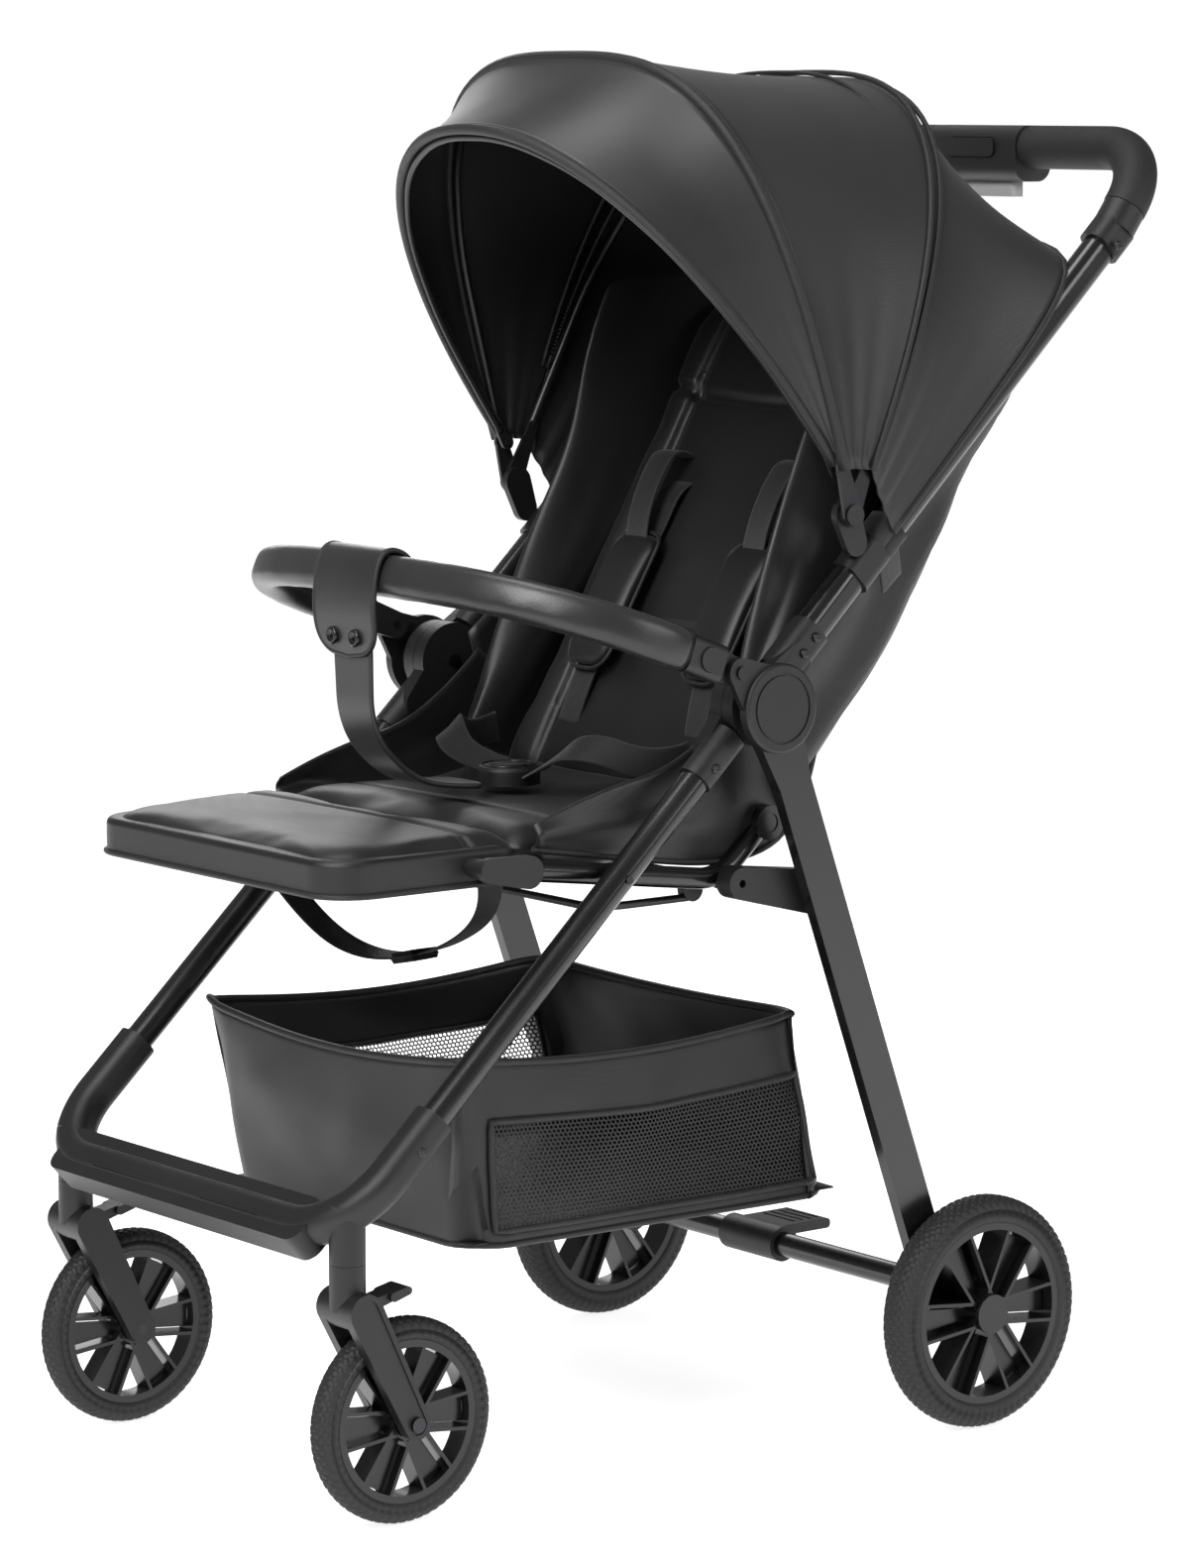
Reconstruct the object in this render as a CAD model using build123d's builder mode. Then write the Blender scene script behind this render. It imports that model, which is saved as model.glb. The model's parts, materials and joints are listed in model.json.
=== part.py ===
"""A folding baby stroller: frame, wheels, seat, canopy, bumper bar and basket.

x runs to the child's left, y to the back and z up. The ground is z = 0.
Points written in pairs are side-view points, (y, z). Sizes are in millimetres.
"""

import os
from math import atan2, cos, degrees, hypot, pi, radians, sin, tan

from build123d import *

os.makedirs("parts", exist_ok=True)

# Wheels
FRONT_WHEEL_R = 74.5
FRONT_RIM_R = 59.0
FRONT_TYRE_WIDTH = 22.0
REAR_WHEEL_R = 89.0
REAR_RIM_R = 69.5
REAR_TYRE_WIDTH = 29.0
CASTER_Y = -371.5       # swivel axis of the front wheels
CASTER_TRAIL = 45.0     # from the swivel axis back to the axle
CASTER_RISE = 119.0     # from the front axle up to the swivel joint
CASTER_INSET = 13.0     # swivel axis, inwards from the frame tubes
REAR_REACH = 191.3      # from the hub back to the rear axle

# Frame
TUBE_X = 191.0          # centre plane of the side tubes
TUBE_R = 11.0
TUBE_WALL = 1.8
FRONT_SLOPE = 43.2      # front tubes, degrees above level
PUSH_SLOPE = 43.7       # push tubes, degrees above level
FRONT_LENGTH = 444.3    # from the hub to the foot bar's screws
PUSH_LENGTH = 490.0     # from the hub to the handle collars
PUSH_DEPTH = 26.0       # push tube, across its side face
FOOT_DROP = 62.0        # from the foot bar's end back to its screws, along the tube
HUB_R = 30.0
HUB_HALF = 12.7         # thickness of one half of the folding hub
PIN_R = 5.0
LEG_THICK = 10.0
LEG_WIDTH = 30.0
GAP = 0.3               # between neighbours that turn on each other

# Seat and back
RAIL_X = 168.0
RAIL_R = 8.0
SEAT_THICK = 30.0
BACK_LENGTH = 430.0
BACK_ANGLE = 59.7
BACK_THICK = 24.0
CALF_LENGTH = 150.0
CALF_WIDTH = 318.0
CALF_THICK = 26.0

# Canopy
BOW_R = 3.6
CANOPY_RISE = 43.0      # canopy pivot, above the push tube's centre line
CANOPY_REACH = 151.3    # canopy pivot, along the push tube from the hub
CLOTH = 2.0             # thickness of the canopy and basket fabric

# Bumper bar
BUMPER_PIVOT_R = 45.0
BUMPER_PIVOT_ANGLE = 141.3
BUMPER_ANGLE = 159.5
BUMPER_REACH = 190.0

FRONT_DIR = 180 + FRONT_SLOPE
SWIVEL_Z = FRONT_WHEEL_R + CASTER_RISE
FOOT = (CASTER_Y + 31.4, SWIVEL_Z + 64.4)
HUB = (
    FOOT[0] + FRONT_LENGTH * cos(radians(FRONT_SLOPE)),
    FOOT[1] + FRONT_LENGTH * sin(radians(FRONT_SLOPE)),
)
CASTER_X = TUBE_X - CASTER_INSET
HUB_FACE = TUBE_X + HUB_HALF + GAP          # outside of the folding hub
LEG_X = HUB_FACE + 1                        # inside face of the rear legs
CAP_X = LEG_X + LEG_THICK + 1               # inside face of the hub caps
REAR_WHEEL_X = CAP_X + 1 + REAR_TYRE_WIDTH / 2
REAR_WHEEL = (HUB[0] + REAR_REACH, REAR_WHEEL_R)
AXLE = (REAR_WHEEL[0] - 26, REAR_WHEEL[1] + 19)


def at(start, angle, distance, offset=0.0):
    """The side-view point at a distance along an angle, offset to the left of it."""
    a = radians(angle)
    return (
        start[0] + distance * cos(a) - offset * sin(a),
        start[1] + distance * sin(a) + offset * cos(a),
    )


def front(distance, offset=0.0):
    """A point on the front tube, counted down from the hub; offset is to the back."""
    return at(HUB, FRONT_DIR, distance, offset)


def push(distance, offset=0.0):
    """A point on the push tube, counted up from the hub; offset is to the front."""
    return at(HUB, PUSH_SLOPE, distance, offset)


def side(x):
    """A side-view plane at x, in which a sketch is drawn in (y, z)."""
    return Plane(origin=(x, 0, 0), x_dir=(0, 1, 0), z_dir=(1, 0, 0))


def disc(x0, x1, centre, radius, mode=Mode.ADD):
    """A round boss, pin or hole that runs across from x0 to x1."""
    with BuildSketch(side(x0)) as face:
        with Locations(centre):
            Circle(radius)
    extrude(face.sketch, amount=x1 - x0, mode=mode)


def link(x0, x1, *ends, mode=Mode.ADD):
    """A flat link from x0 to x1, drawn round a circle (centre, radius) at each end."""
    with BuildSketch(side(x0)) as face:
        for centre, radius in ends:
            with Locations(centre):
                Circle(radius)
        make_hull()
    extrude(face.sketch, amount=x1 - x0, mode=mode)


def across(x, start, end):
    """The plane square to a side-view line, at its start."""
    return Plane(origin=(x, *start), x_dir=(1, 0, 0), z_dir=(0, end[0] - start[0], end[1] - start[1]))


def tube(x, start, end, radius, wall=0.0, mode=Mode.ADD):
    """A round tube between two side-view points, solid where wall is 0."""
    with BuildSketch(across(x, start, end)) as ring:
        Circle(radius)
        if wall:
            Circle(radius - wall, mode=Mode.SUBTRACT)
    extrude(ring.sketch, amount=hypot(end[0] - start[0], end[1] - start[1]), mode=mode)


def flat_tube(x, start, end, width, depth, corner, wall=0.0, mode=Mode.ADD):
    """A rounded rectangular tube between two side-view points, solid where wall is 0."""
    with BuildSketch(across(x, start, end)) as ring:
        RectangleRounded(width, depth, corner)
        if wall:
            RectangleRounded(width - 2 * wall, depth - 2 * wall, corner - wall, mode=Mode.SUBTRACT)
    extrude(ring.sketch, amount=hypot(end[0] - start[0], end[1] - start[1]), mode=mode)


def save(part, name):
    part.label = name
    export_step(part, f"parts/{name}.step")


def save_pair(part, name):
    """Write a piece of the left side, and the same piece mirrored to the right."""
    save(part, f"{name}_left")
    with BuildPart() as right:
        mirror(part, about=Plane.YZ)
    save(right.part, f"{name}_right")


def save_both(part, name):
    """Write a piece of the left side and its mirror image as one node."""
    with BuildPart() as both:
        add(part)
        mirror(part, about=Plane.YZ)
    save(both.part, name)


# Wheels: a tyre on a ribbed rim, and a bolt that the wheel turns on
TREAD_DEPTH = 1.2
TREAD_GROOVES = 3
AXLE_R = 4.0
WHEEL_HUB_R = 13.0
RIM_BAND = 5.5
SPOKES = 6


def make_tyre(x, centre, outer, inner, width):
    """A rounded tyre with grooves round its tread."""
    with BuildPart() as tyre:
        with BuildSketch(Plane(origin=(x, *centre), x_dir=(1, 0, 0), z_dir=(0, 1, 0))) as section:
            with BuildLine():
                Polyline(
                    (-width / 2 + 2, -inner),
                    (-width / 2, -inner - 3),
                    (-width / 2, -outer + 7),
                    (-width / 2 + 4, -outer + 1.2),
                )
                ThreePointArc((-width / 2 + 4, -outer + 1.2), (0, -outer), (width / 2 - 4, -outer + 1.2))
                Polyline(
                    (width / 2 - 4, -outer + 1.2),
                    (width / 2, -outer + 7),
                    (width / 2, -inner - 3),
                    (width / 2 - 2, -inner),
                    (-width / 2 + 2, -inner),
                )
            make_face()
            pitch = (width - 8) / (TREAD_GROOVES + 1)
            with Locations((0, -outer)):
                with GridLocations(pitch, 1, TREAD_GROOVES, 1):
                    Rectangle(1.4, 2 * TREAD_DEPTH, mode=Mode.SUBTRACT)
        revolve(section.sketch, axis=Axis((x, *centre), (1, 0, 0)))
    return tyre.part


def make_rim(x, centre, outer, width):
    """A rim with paired ribs and a web from the hub to the band."""
    start = x - width / 2 + 2
    depth = width - 4
    with BuildPart() as rim:
        with BuildSketch(side(start)) as band:
            with Locations(centre):
                Circle(outer - GAP / 3)
                Circle(outer - RIM_BAND, mode=Mode.SUBTRACT)
        extrude(band.sketch, amount=depth)
        with BuildSketch(side(start)) as ribs:
            with Locations(centre):
                with PolarLocations(0, SPOKES):
                    for turn in (-1, 1):
                        with Locations(Location((0, turn * 7.5, 0), turn * 6)):
                            with Locations((outer / 2 + 2, 0)):
                                Rectangle(outer - 5, 2.6)
                with Locations((0, 0)):
                    Circle(outer - RIM_BAND + 1, mode=Mode.INTERSECT)
        extrude(ribs.sketch, amount=depth)
        with BuildSketch(side(x - 1.5)) as webs:
            with Locations(centre):
                with PolarLocations(outer / 2, SPOKES):
                    Trapezoid(18, outer - RIM_BAND - 8, 84, rotation=90)
        extrude(webs.sketch, amount=3)
        disc(start - 1, start + depth + 1, centre, WHEEL_HUB_R)
        disc(start - 2, start + depth + 2, centre, AXLE_R + 0.2, mode=Mode.SUBTRACT)
    return rim.part


FRONT_WHEEL = (CASTER_Y + CASTER_TRAIL, FRONT_WHEEL_R)
save_pair(make_tyre(CASTER_X, FRONT_WHEEL, FRONT_WHEEL_R, FRONT_RIM_R, FRONT_TYRE_WIDTH), "front_tyre")
save_pair(make_rim(CASTER_X, FRONT_WHEEL, FRONT_RIM_R, FRONT_TYRE_WIDTH), "front_rim")
save_pair(make_tyre(REAR_WHEEL_X, REAR_WHEEL, REAR_WHEEL_R, REAR_RIM_R, REAR_TYRE_WIDTH), "rear_tyre")
with BuildPart() as rear_rim:
    add(make_rim(REAR_WHEEL_X, REAR_WHEEL, REAR_RIM_R, REAR_TYRE_WIDTH))
    disc(REAR_WHEEL_X + REAR_TYRE_WIDTH / 2 - 1, REAR_WHEEL_X + REAR_TYRE_WIDTH / 2 + 2, REAR_WHEEL, 15)
save_pair(rear_rim.part, "rear_rim")

# Caster fork: a stem, a suspension barrel and an arm each side of the wheel
BARREL = (CASTER_Y + 2, FRONT_WHEEL_R + 86)
BARREL_R = 14.0
STEM_R = 13.0
ARM_IN = FRONT_TYRE_WIDTH / 2 + 1.5
ARM_THICK = 9.0
with BuildPart() as fork:
    with BuildSketch(Plane.XY.offset(BARREL[1])):
        with Locations((CASTER_X, CASTER_Y)):
            Circle(STEM_R)
    extrude(amount=SWIVEL_Z - GAP - BARREL[1])
    disc(CASTER_X - ARM_IN - ARM_THICK, CASTER_X + ARM_IN + ARM_THICK, BARREL, BARREL_R)
    for arm_x in (CASTER_X - ARM_IN - ARM_THICK, CASTER_X + ARM_IN):
        link(arm_x, arm_x + ARM_THICK, (BARREL, BARREL_R), (FRONT_WHEEL, 11))
        disc(arm_x, arm_x + ARM_THICK, FRONT_WHEEL, AXLE_R, mode=Mode.SUBTRACT)
    with BuildSketch(side(CASTER_X + ARM_IN + ARM_THICK - 1.2)) as recess:
        for centre, radius in ((BARREL, BARREL_R - 4), (FRONT_WHEEL, 7.5)):
            with Locations(centre):
                Circle(radius)
        make_hull()
    extrude(recess.sketch, amount=1.2, mode=Mode.SUBTRACT)
save_pair(fork.part, "caster_fork")

with BuildPart() as front_axle:
    disc(CASTER_X - ARM_IN - ARM_THICK, CASTER_X + ARM_IN + ARM_THICK, FRONT_WHEEL, AXLE_R)
    disc(CASTER_X + ARM_IN + ARM_THICK - 1.2, CASTER_X + ARM_IN + ARM_THICK + 1.5, FRONT_WHEEL, 5.5)
save_pair(front_axle.part, "front_axle")

# Swivel lock: a tab behind the barrel that is pressed down to stop the swivel
LOCK_PIVOT = (BARREL[0] + BARREL_R + 5, BARREL[1] + 3)
with BuildPart() as swivel_lock:
    link(
        CASTER_X - 8,
        CASTER_X + 8,
        (LOCK_PIVOT, 4),
        ((LOCK_PIVOT[0] + 24, LOCK_PIVOT[1] + 6), 3),
    )
    link(
        CASTER_X - 11,
        CASTER_X + 11,
        ((LOCK_PIVOT[0] + 12, LOCK_PIVOT[1] + 3), 3.5),
        ((LOCK_PIVOT[0] + 24, LOCK_PIVOT[1] + 6), 3),
    )
save_pair(swivel_lock.part, "swivel_lock")

# Front tubes, and the lower half of each folding hub with its socket
SOCKET_START = HUB_R + 1
SOCKET_END = 75.0
SOCKET_R = 13.0
TUBE_START = 45.0
SLEEVE_START = FRONT_LENGTH - 47
with BuildPart() as front_tube:
    tube(TUBE_X, front(TUBE_START), front(SLEEVE_START + 40), TUBE_R, TUBE_WALL)
    disc(RAIL_X, HUB_FACE, front(170), 3.2, mode=Mode.SUBTRACT)
save_pair(front_tube.part, "front_tube")

HUB_SPLIT = TUBE_X
with BuildPart() as lower_hub:
    disc(TUBE_X - HUB_HALF - GAP, HUB_SPLIT - GAP, HUB, HUB_R)
    tube(TUBE_X, front(SOCKET_START), front(SOCKET_END), SOCKET_R)
    link(TUBE_X - SOCKET_R, HUB_SPLIT - GAP, (HUB, 20), (front(SOCKET_START + 15), SOCKET_R - 1))
    tube(TUBE_X, front(TUBE_START), front(SOCKET_END), TUBE_R, mode=Mode.SUBTRACT)
    disc(TUBE_X - HUB_HALF - 2, HUB_SPLIT, HUB, PIN_R, mode=Mode.SUBTRACT)
save_pair(lower_hub.part, "lower_hub")

# Foot bar: a broad moulded U in the plane of the front tubes, with grooves to
# tread on, a sleeve round each tube end and a socket for each caster stem
FOOT_END = FRONT_LENGTH + FOOT_DROP
FOOT_DEPTH = 38.0
FOOT_THICK = 24.0
FOOT_BEND = 58.0
foot_plane = Plane(
    origin=(0, *HUB),
    x_dir=(1, 0, 0),
    z_dir=(0, -sin(radians(FRONT_SLOPE)), cos(radians(FRONT_SLOPE))),
)
with BuildPart() as foot_bar:
    with BuildLine(foot_plane):
        FilletPolyline(
            (-TUBE_X, -SLEEVE_START),
            (-TUBE_X, -FOOT_END),
            (TUBE_X, -FOOT_END),
            (TUBE_X, -SLEEVE_START),
            radius=FOOT_BEND,
        )
    with BuildSketch(across(-TUBE_X, front(SLEEVE_START), front(FOOT_END))):
        RectangleRounded(FOOT_THICK + 4, FOOT_THICK + 4, 11)
    sweep()
    with BuildSketch(foot_plane.offset(-FOOT_THICK / 2)):
        with Locations((0, -FOOT_END)):
            RectangleRounded(2 * (TUBE_X - FOOT_BEND) + 60, FOOT_DEPTH, 12)
    extrude(amount=FOOT_THICK)
    for x in (-TUBE_X, TUBE_X):
        tube(x, front(SLEEVE_START), front(SLEEVE_START + 40), TUBE_R, mode=Mode.SUBTRACT)
    with BuildSketch(Plane.XY.offset(SWIVEL_Z)):
        with Locations((CASTER_X, CASTER_Y), (-CASTER_X, CASTER_Y)):
            Circle(STEM_R)
    extrude(amount=FOOT[1] - SWIVEL_Z - 22)
    with BuildSketch(foot_plane.offset(FOOT_THICK / 2 - 1)):
        for centre_x in (-72, 72):
            with Locations((centre_x, -FOOT_END)):
                with GridLocations(1, 7, 1, 3):
                    SlotOverall(74, 2)
    extrude(amount=2, mode=Mode.SUBTRACT)
save(foot_bar.part, "foot_bar")

# Basket: an open fabric tub hung between the front tubes and the rear legs
LEG_DIR = degrees(atan2(AXLE[1] - HUB[1], AXLE[0] - HUB[0]))
BASKET_TOP = HUB[1] - 240
BASKET_FLOOR = REAR_WHEEL_R + 90
BASKET_FRONT = front(346)[0]
BASKET_BACK = at(HUB, LEG_DIR, (HUB[1] - BASKET_TOP) / sin(radians(-LEG_DIR)))[0] - 12
with BuildPart() as basket:
    with BuildSketch(Plane.XY.offset(BASKET_FLOOR)):
        with Locations((0, (BASKET_FRONT + BASKET_BACK) / 2 + 22)):
            Trapezoid(2 * TUBE_X - 34, BASKET_BACK - BASKET_FRONT + 20, 92)
    with BuildSketch(Plane.XY.offset(BASKET_TOP)):
        with Locations((0, (BASKET_FRONT + BASKET_BACK) / 2)):
            Trapezoid(2 * TUBE_X - 26, BASKET_BACK - BASKET_FRONT, 92)
    loft()
    offset(amount=-CLOTH, openings=basket.faces().sort_by(Axis.Z)[-1])
save(basket.part, "basket")

# Push tubes, and the upper half of each hub
with BuildPart() as push_tube:
    flat_tube(
        TUBE_X, push(TUBE_START), push(PUSH_LENGTH), 2 * TUBE_R - 1, PUSH_DEPTH, 9, TUBE_WALL
    )
save_pair(push_tube.part, "push_tube")

PUSH_SOCKET = PUSH_DEPTH + 3.4
with BuildPart() as upper_hub:
    disc(HUB_SPLIT + GAP, TUBE_X + HUB_HALF, HUB, HUB_R)
    flat_tube(TUBE_X, push(SOCKET_START), push(SOCKET_END), 2 * HUB_HALF, PUSH_SOCKET, 10)
    link(HUB_SPLIT + GAP, TUBE_X + HUB_HALF - 1, (HUB, 20), (push(SOCKET_START + 15), SOCKET_R - 1))
    flat_tube(
        TUBE_X, push(TUBE_START), push(SOCKET_END), 2 * TUBE_R - 1, PUSH_DEPTH, 9, mode=Mode.SUBTRACT
    )
    disc(HUB_SPLIT, TUBE_X + HUB_HALF + 1, HUB, PIN_R + 0.1, mode=Mode.SUBTRACT)
save_pair(upper_hub.part, "upper_hub")

# Hub caps: the round covers, each with the ear that carries the bumper bar
CAP_R = 33.0
CAP_THICK = 9.0
EAR_THICK = 5.0
BUMPER = at(HUB, BUMPER_PIVOT_ANGLE, BUMPER_PIVOT_R)
with BuildPart() as hub_cap:
    disc(CAP_X, CAP_X + CAP_THICK, HUB, CAP_R)
    fillet(hub_cap.faces().sort_by(Axis.X)[-1].edges(), 2.5)
    link(CAP_X, CAP_X + EAR_THICK, (HUB, CAP_R - 4), (BUMPER, 11))
    with BuildSketch(side(CAP_X + CAP_THICK - 1)) as groove:
        with Locations(HUB):
            Circle(CAP_R - 7)
            Circle(CAP_R - 9, mode=Mode.SUBTRACT)
    extrude(groove.sketch, amount=2, mode=Mode.SUBTRACT)
    disc(CAP_X - 1, CAP_X + 4, HUB, PIN_R, mode=Mode.SUBTRACT)
    disc(CAP_X - 1, CAP_X + EAR_THICK + 1, BUMPER, 3, mode=Mode.SUBTRACT)
save_both(hub_cap.part, "hub_caps")

# Pins of the front frame: hub pins, bumper screws, rail rivets and foot bar screws
RAIL_PIVOT = front(170)
with BuildPart() as frame_pin:
    disc(TUBE_X - HUB_HALF - GAP - 2, CAP_X + 4, HUB, PIN_R)
    disc(LEG_X, CAP_X + EAR_THICK, BUMPER, 3)
    disc(CAP_X + EAR_THICK, CAP_X + EAR_THICK + 2, BUMPER, 5)
    disc(RAIL_X - RAIL_R, TUBE_X + TUBE_R + 1.5, RAIL_PIVOT, 3)
save_both(frame_pin.part, "frame_pins")

# Rear legs, the axle between them, and the brackets that carry the wheels
LEG_RIVET = (HUB[0] + 60, HUB[1] - 144)
with BuildPart() as rear_leg:
    link(LEG_X, LEG_X + LEG_THICK, (HUB, 24), (at(HUB, LEG_DIR, 60), LEG_WIDTH / 2))
    link(
        LEG_X,
        LEG_X + LEG_THICK,
        (at(HUB, LEG_DIR, 55), LEG_WIDTH / 2),
        (AXLE, LEG_WIDTH / 2),
    )
    disc(LEG_X - 1, CAP_X, HUB, PIN_R + 0.1, mode=Mode.SUBTRACT)
    disc(LEG_X - 0.5, LEG_X, LEG_RIVET, 6)
save_pair(rear_leg.part, "rear_leg")

STUB = (LEG_X - 0.5, REAR_WHEEL_X + REAR_TYRE_WIDTH / 2 - 2)
with BuildPart() as axle_bracket:
    link(LEG_X - 16, LEG_X - 0.5, (AXLE, 17), (REAR_WHEEL, 13))
    disc(LEG_X - 30, LEG_X - 15, AXLE, 14)
    disc(LEG_X - 0.5, CAP_X, REAR_WHEEL, 11)
    disc(STUB[0], STUB[1], REAR_WHEEL, AXLE_R)
    disc(LEG_X - 31, LEG_X - 0.5, AXLE, 9.5, mode=Mode.SUBTRACT)
save_both(axle_bracket.part, "axle_brackets")

with BuildPart() as rear_axle:
    disc(-LEG_X + 1, LEG_X - 1, AXLE, 9.5)
    disc(-LEG_X, LEG_X, AXLE, 7.5, mode=Mode.SUBTRACT)
save(rear_axle.part, "rear_axle")

# Brake pedal: a ribbed pedal clamped round the middle of the axle
PEDAL_HALF = 32.0
with BuildPart() as brake_pedal:
    disc(-PEDAL_HALF, PEDAL_HALF, AXLE, 14)
    with BuildSketch(side(-PEDAL_HALF + 6)) as plate:
        with Locations((AXLE[0] + 26, AXLE[1] + 9)):
            RectangleRounded(54, 8, 3.5)
    extrude(plate.sketch, amount=2 * (PEDAL_HALF - 6))
    disc(-PEDAL_HALF - 1, PEDAL_HALF + 1, AXLE, 9.5 + GAP, mode=Mode.SUBTRACT)
    with BuildSketch(Plane.XY.offset(AXLE[1] + 12)):
        with Locations((0, AXLE[0] + 34)):
            with GridLocations(1, 8, 1, 4):
                SlotOverall(40, 2.6)
    extrude(amount=2, mode=Mode.SUBTRACT)
save(brake_pedal.part, "brake_pedal")

# Seat frame: a bent rail on each side, welded to two cross tubes
CALF_HINGE = (RAIL_PIVOT[0] - 74, RAIL_PIVOT[1] + 10)
KNEE = (RAIL_PIVOT[0] + 110, RAIL_PIVOT[1] - 14)
BACK_HINGE = (RAIL_PIVOT[0] + 153, RAIL_PIVOT[1] + 25)
RAIL_HALF = RAIL_R + 1
with BuildPart() as seat_rail:
    with BuildLine(side(RAIL_X)):
        FilletPolyline(CALF_HINGE, KNEE, BACK_HINGE, radius=40)
    with BuildSketch(across(RAIL_X, CALF_HINGE, KNEE)):
        Circle(RAIL_R)
    sweep()
    disc(RAIL_X - RAIL_HALF, RAIL_X + RAIL_HALF, BACK_HINGE, 13)
    disc(RAIL_X - RAIL_HALF, RAIL_X + RAIL_HALF, CALF_HINGE, 9)
    disc(RAIL_X, TUBE_X - TUBE_R - 2, KNEE, 7)
    disc(RAIL_X - RAIL_HALF - 1, RAIL_X + RAIL_HALF + 1, RAIL_PIVOT, 3.05, mode=Mode.SUBTRACT)
    disc(RAIL_X - RAIL_HALF - 1, RAIL_X + RAIL_HALF + 1, BACK_HINGE, 7.1, mode=Mode.SUBTRACT)
    disc(RAIL_X - RAIL_HALF - 1, RAIL_X + RAIL_HALF + 1, CALF_HINGE, 4.1, mode=Mode.SUBTRACT)

CROSS_TUBE_R = 6.0
with BuildPart() as seat_frame:
    add(seat_rail.part)
    mirror(seat_rail.part, about=Plane.YZ)
    for share in (0.2, 0.82):
        spot = (
            CALF_HINGE[0] + share * (KNEE[0] - CALF_HINGE[0]),
            CALF_HINGE[1] + share * (KNEE[1] - CALF_HINGE[1]),
        )
        disc(-RAIL_X + RAIL_R / 2, RAIL_X - RAIL_R / 2, spot, CROSS_TUBE_R)
save(seat_frame.part, "seat_frame")

# Recline wire: the bent handle under the seat that lets the back down
WIRE_R = 3.0
with BuildPart() as recline_wire:
    with BuildLine(Plane(origin=(0, 0, KNEE[1] - 16), x_dir=(1, 0, 0), z_dir=(0, 0, 1))):
        FilletPolyline(
            (-RAIL_X + 26, KNEE[0] - 4),
            (-RAIL_X + 26, KNEE[0] - 92),
            (RAIL_X - 26, KNEE[0] - 92),
            (RAIL_X - 26, KNEE[0] - 4),
            radius=24,
        )
    with BuildSketch(Plane(origin=(-RAIL_X + 26, KNEE[0] - 4, KNEE[1] - 16), z_dir=(0, -1, 0))):
        Circle(WIRE_R)
    sweep()
    for x in (-RAIL_X + 26, RAIL_X - 26):
        disc(x - WIRE_R - 1, x + WIRE_R + 1, (KNEE[0] - 5, KNEE[1] - 10), 9)
save(recline_wire.part, "recline_wire")

# Seat pad
SEAT_HALF = RAIL_X - RAIL_R - 3
with BuildPart() as seat_pad:
    with BuildSketch(side(-SEAT_HALF)):
        with BuildLine():
            Polyline(
                (CALF_HINGE[0] + 16, CALF_HINGE[1] + 3),
                (KNEE[0] + 14, KNEE[1] + 14),
                (KNEE[0] + 14, KNEE[1] + 14 + SEAT_THICK + 14),
                (CALF_HINGE[0] + 22, CALF_HINGE[1] + SEAT_THICK),
                (CALF_HINGE[0] + 16, CALF_HINGE[1] + 3),
            )
        make_face()
    extrude(amount=2 * SEAT_HALF)
    fillet(seat_pad.edges().filter_by(Axis.X), 3)
save(seat_pad.part, "seat_pad")

# Braces: the moulded links from the seat rails to the rear legs
BRACE_X = (TUBE_X - TUBE_R + 1, TUBE_X + 6)
with BuildPart() as brace:
    link(BRACE_X[0], BRACE_X[1], (KNEE, 12), (LEG_RIVET, 17))
    disc(BRACE_X[0] - 3, BRACE_X[0], KNEE, 9)
    disc(BRACE_X[0] - 4, BRACE_X[1] + 1, KNEE, 3, mode=Mode.SUBTRACT)
save_both(brace.part, "braces")

# Calf rest: a padded board on two side hinges
CALF_TOP = CALF_HINGE[1] + 17
with BuildPart() as calf_rest:
    with BuildSketch(Plane.XY.offset(CALF_TOP - CALF_THICK)):
        with Locations((0, CALF_HINGE[0] - CALF_LENGTH / 2 - 3)):
            RectangleRounded(CALF_WIDTH, CALF_LENGTH, 34)
        with Locations((0, CALF_HINGE[0] - CALF_LENGTH / 4)):
            Rectangle(CALF_WIDTH, CALF_LENGTH / 2 - 6)
    extrude(amount=CALF_THICK)
    fillet(calf_rest.faces().sort_by(Axis.Z)[-1].edges(), 5)
    disc(-RAIL_X - RAIL_R - 1, RAIL_X + RAIL_R + 1, CALF_HINGE, 13, mode=Mode.SUBTRACT)
    for x in (-RAIL_X - RAIL_R - 7, RAIL_X + RAIL_R + 1):
        link(x, x + 6, (CALF_HINGE, 12), ((CALF_HINGE[0] - 34, CALF_HINGE[1] + 4), 9))
    for x in (-RAIL_X - RAIL_R - 7, CALF_WIDTH / 2 - 6):
        link(
            x,
            x + RAIL_X + RAIL_R + 13 - CALF_WIDTH / 2,
            ((CALF_HINGE[0] - 27, CALF_HINGE[1] + 3), 7),
            ((CALF_HINGE[0] - 34, CALF_HINGE[1] + 4), 7),
        )
    for x in (-RAIL_X - RAIL_R - 7, RAIL_X - RAIL_R):
        disc(x, x + 7 + 2 * RAIL_R, CALF_HINGE, 4)
save(calf_rest.part, "calf_rest")

# Back: a hinge tube between the rails, and a padded back that reclines on it
with BuildPart() as back_hinge:
    disc(-RAIL_X - RAIL_R, RAIL_X + RAIL_R, BACK_HINGE, 7)
save(back_hinge.part, "back_hinge")

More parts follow.
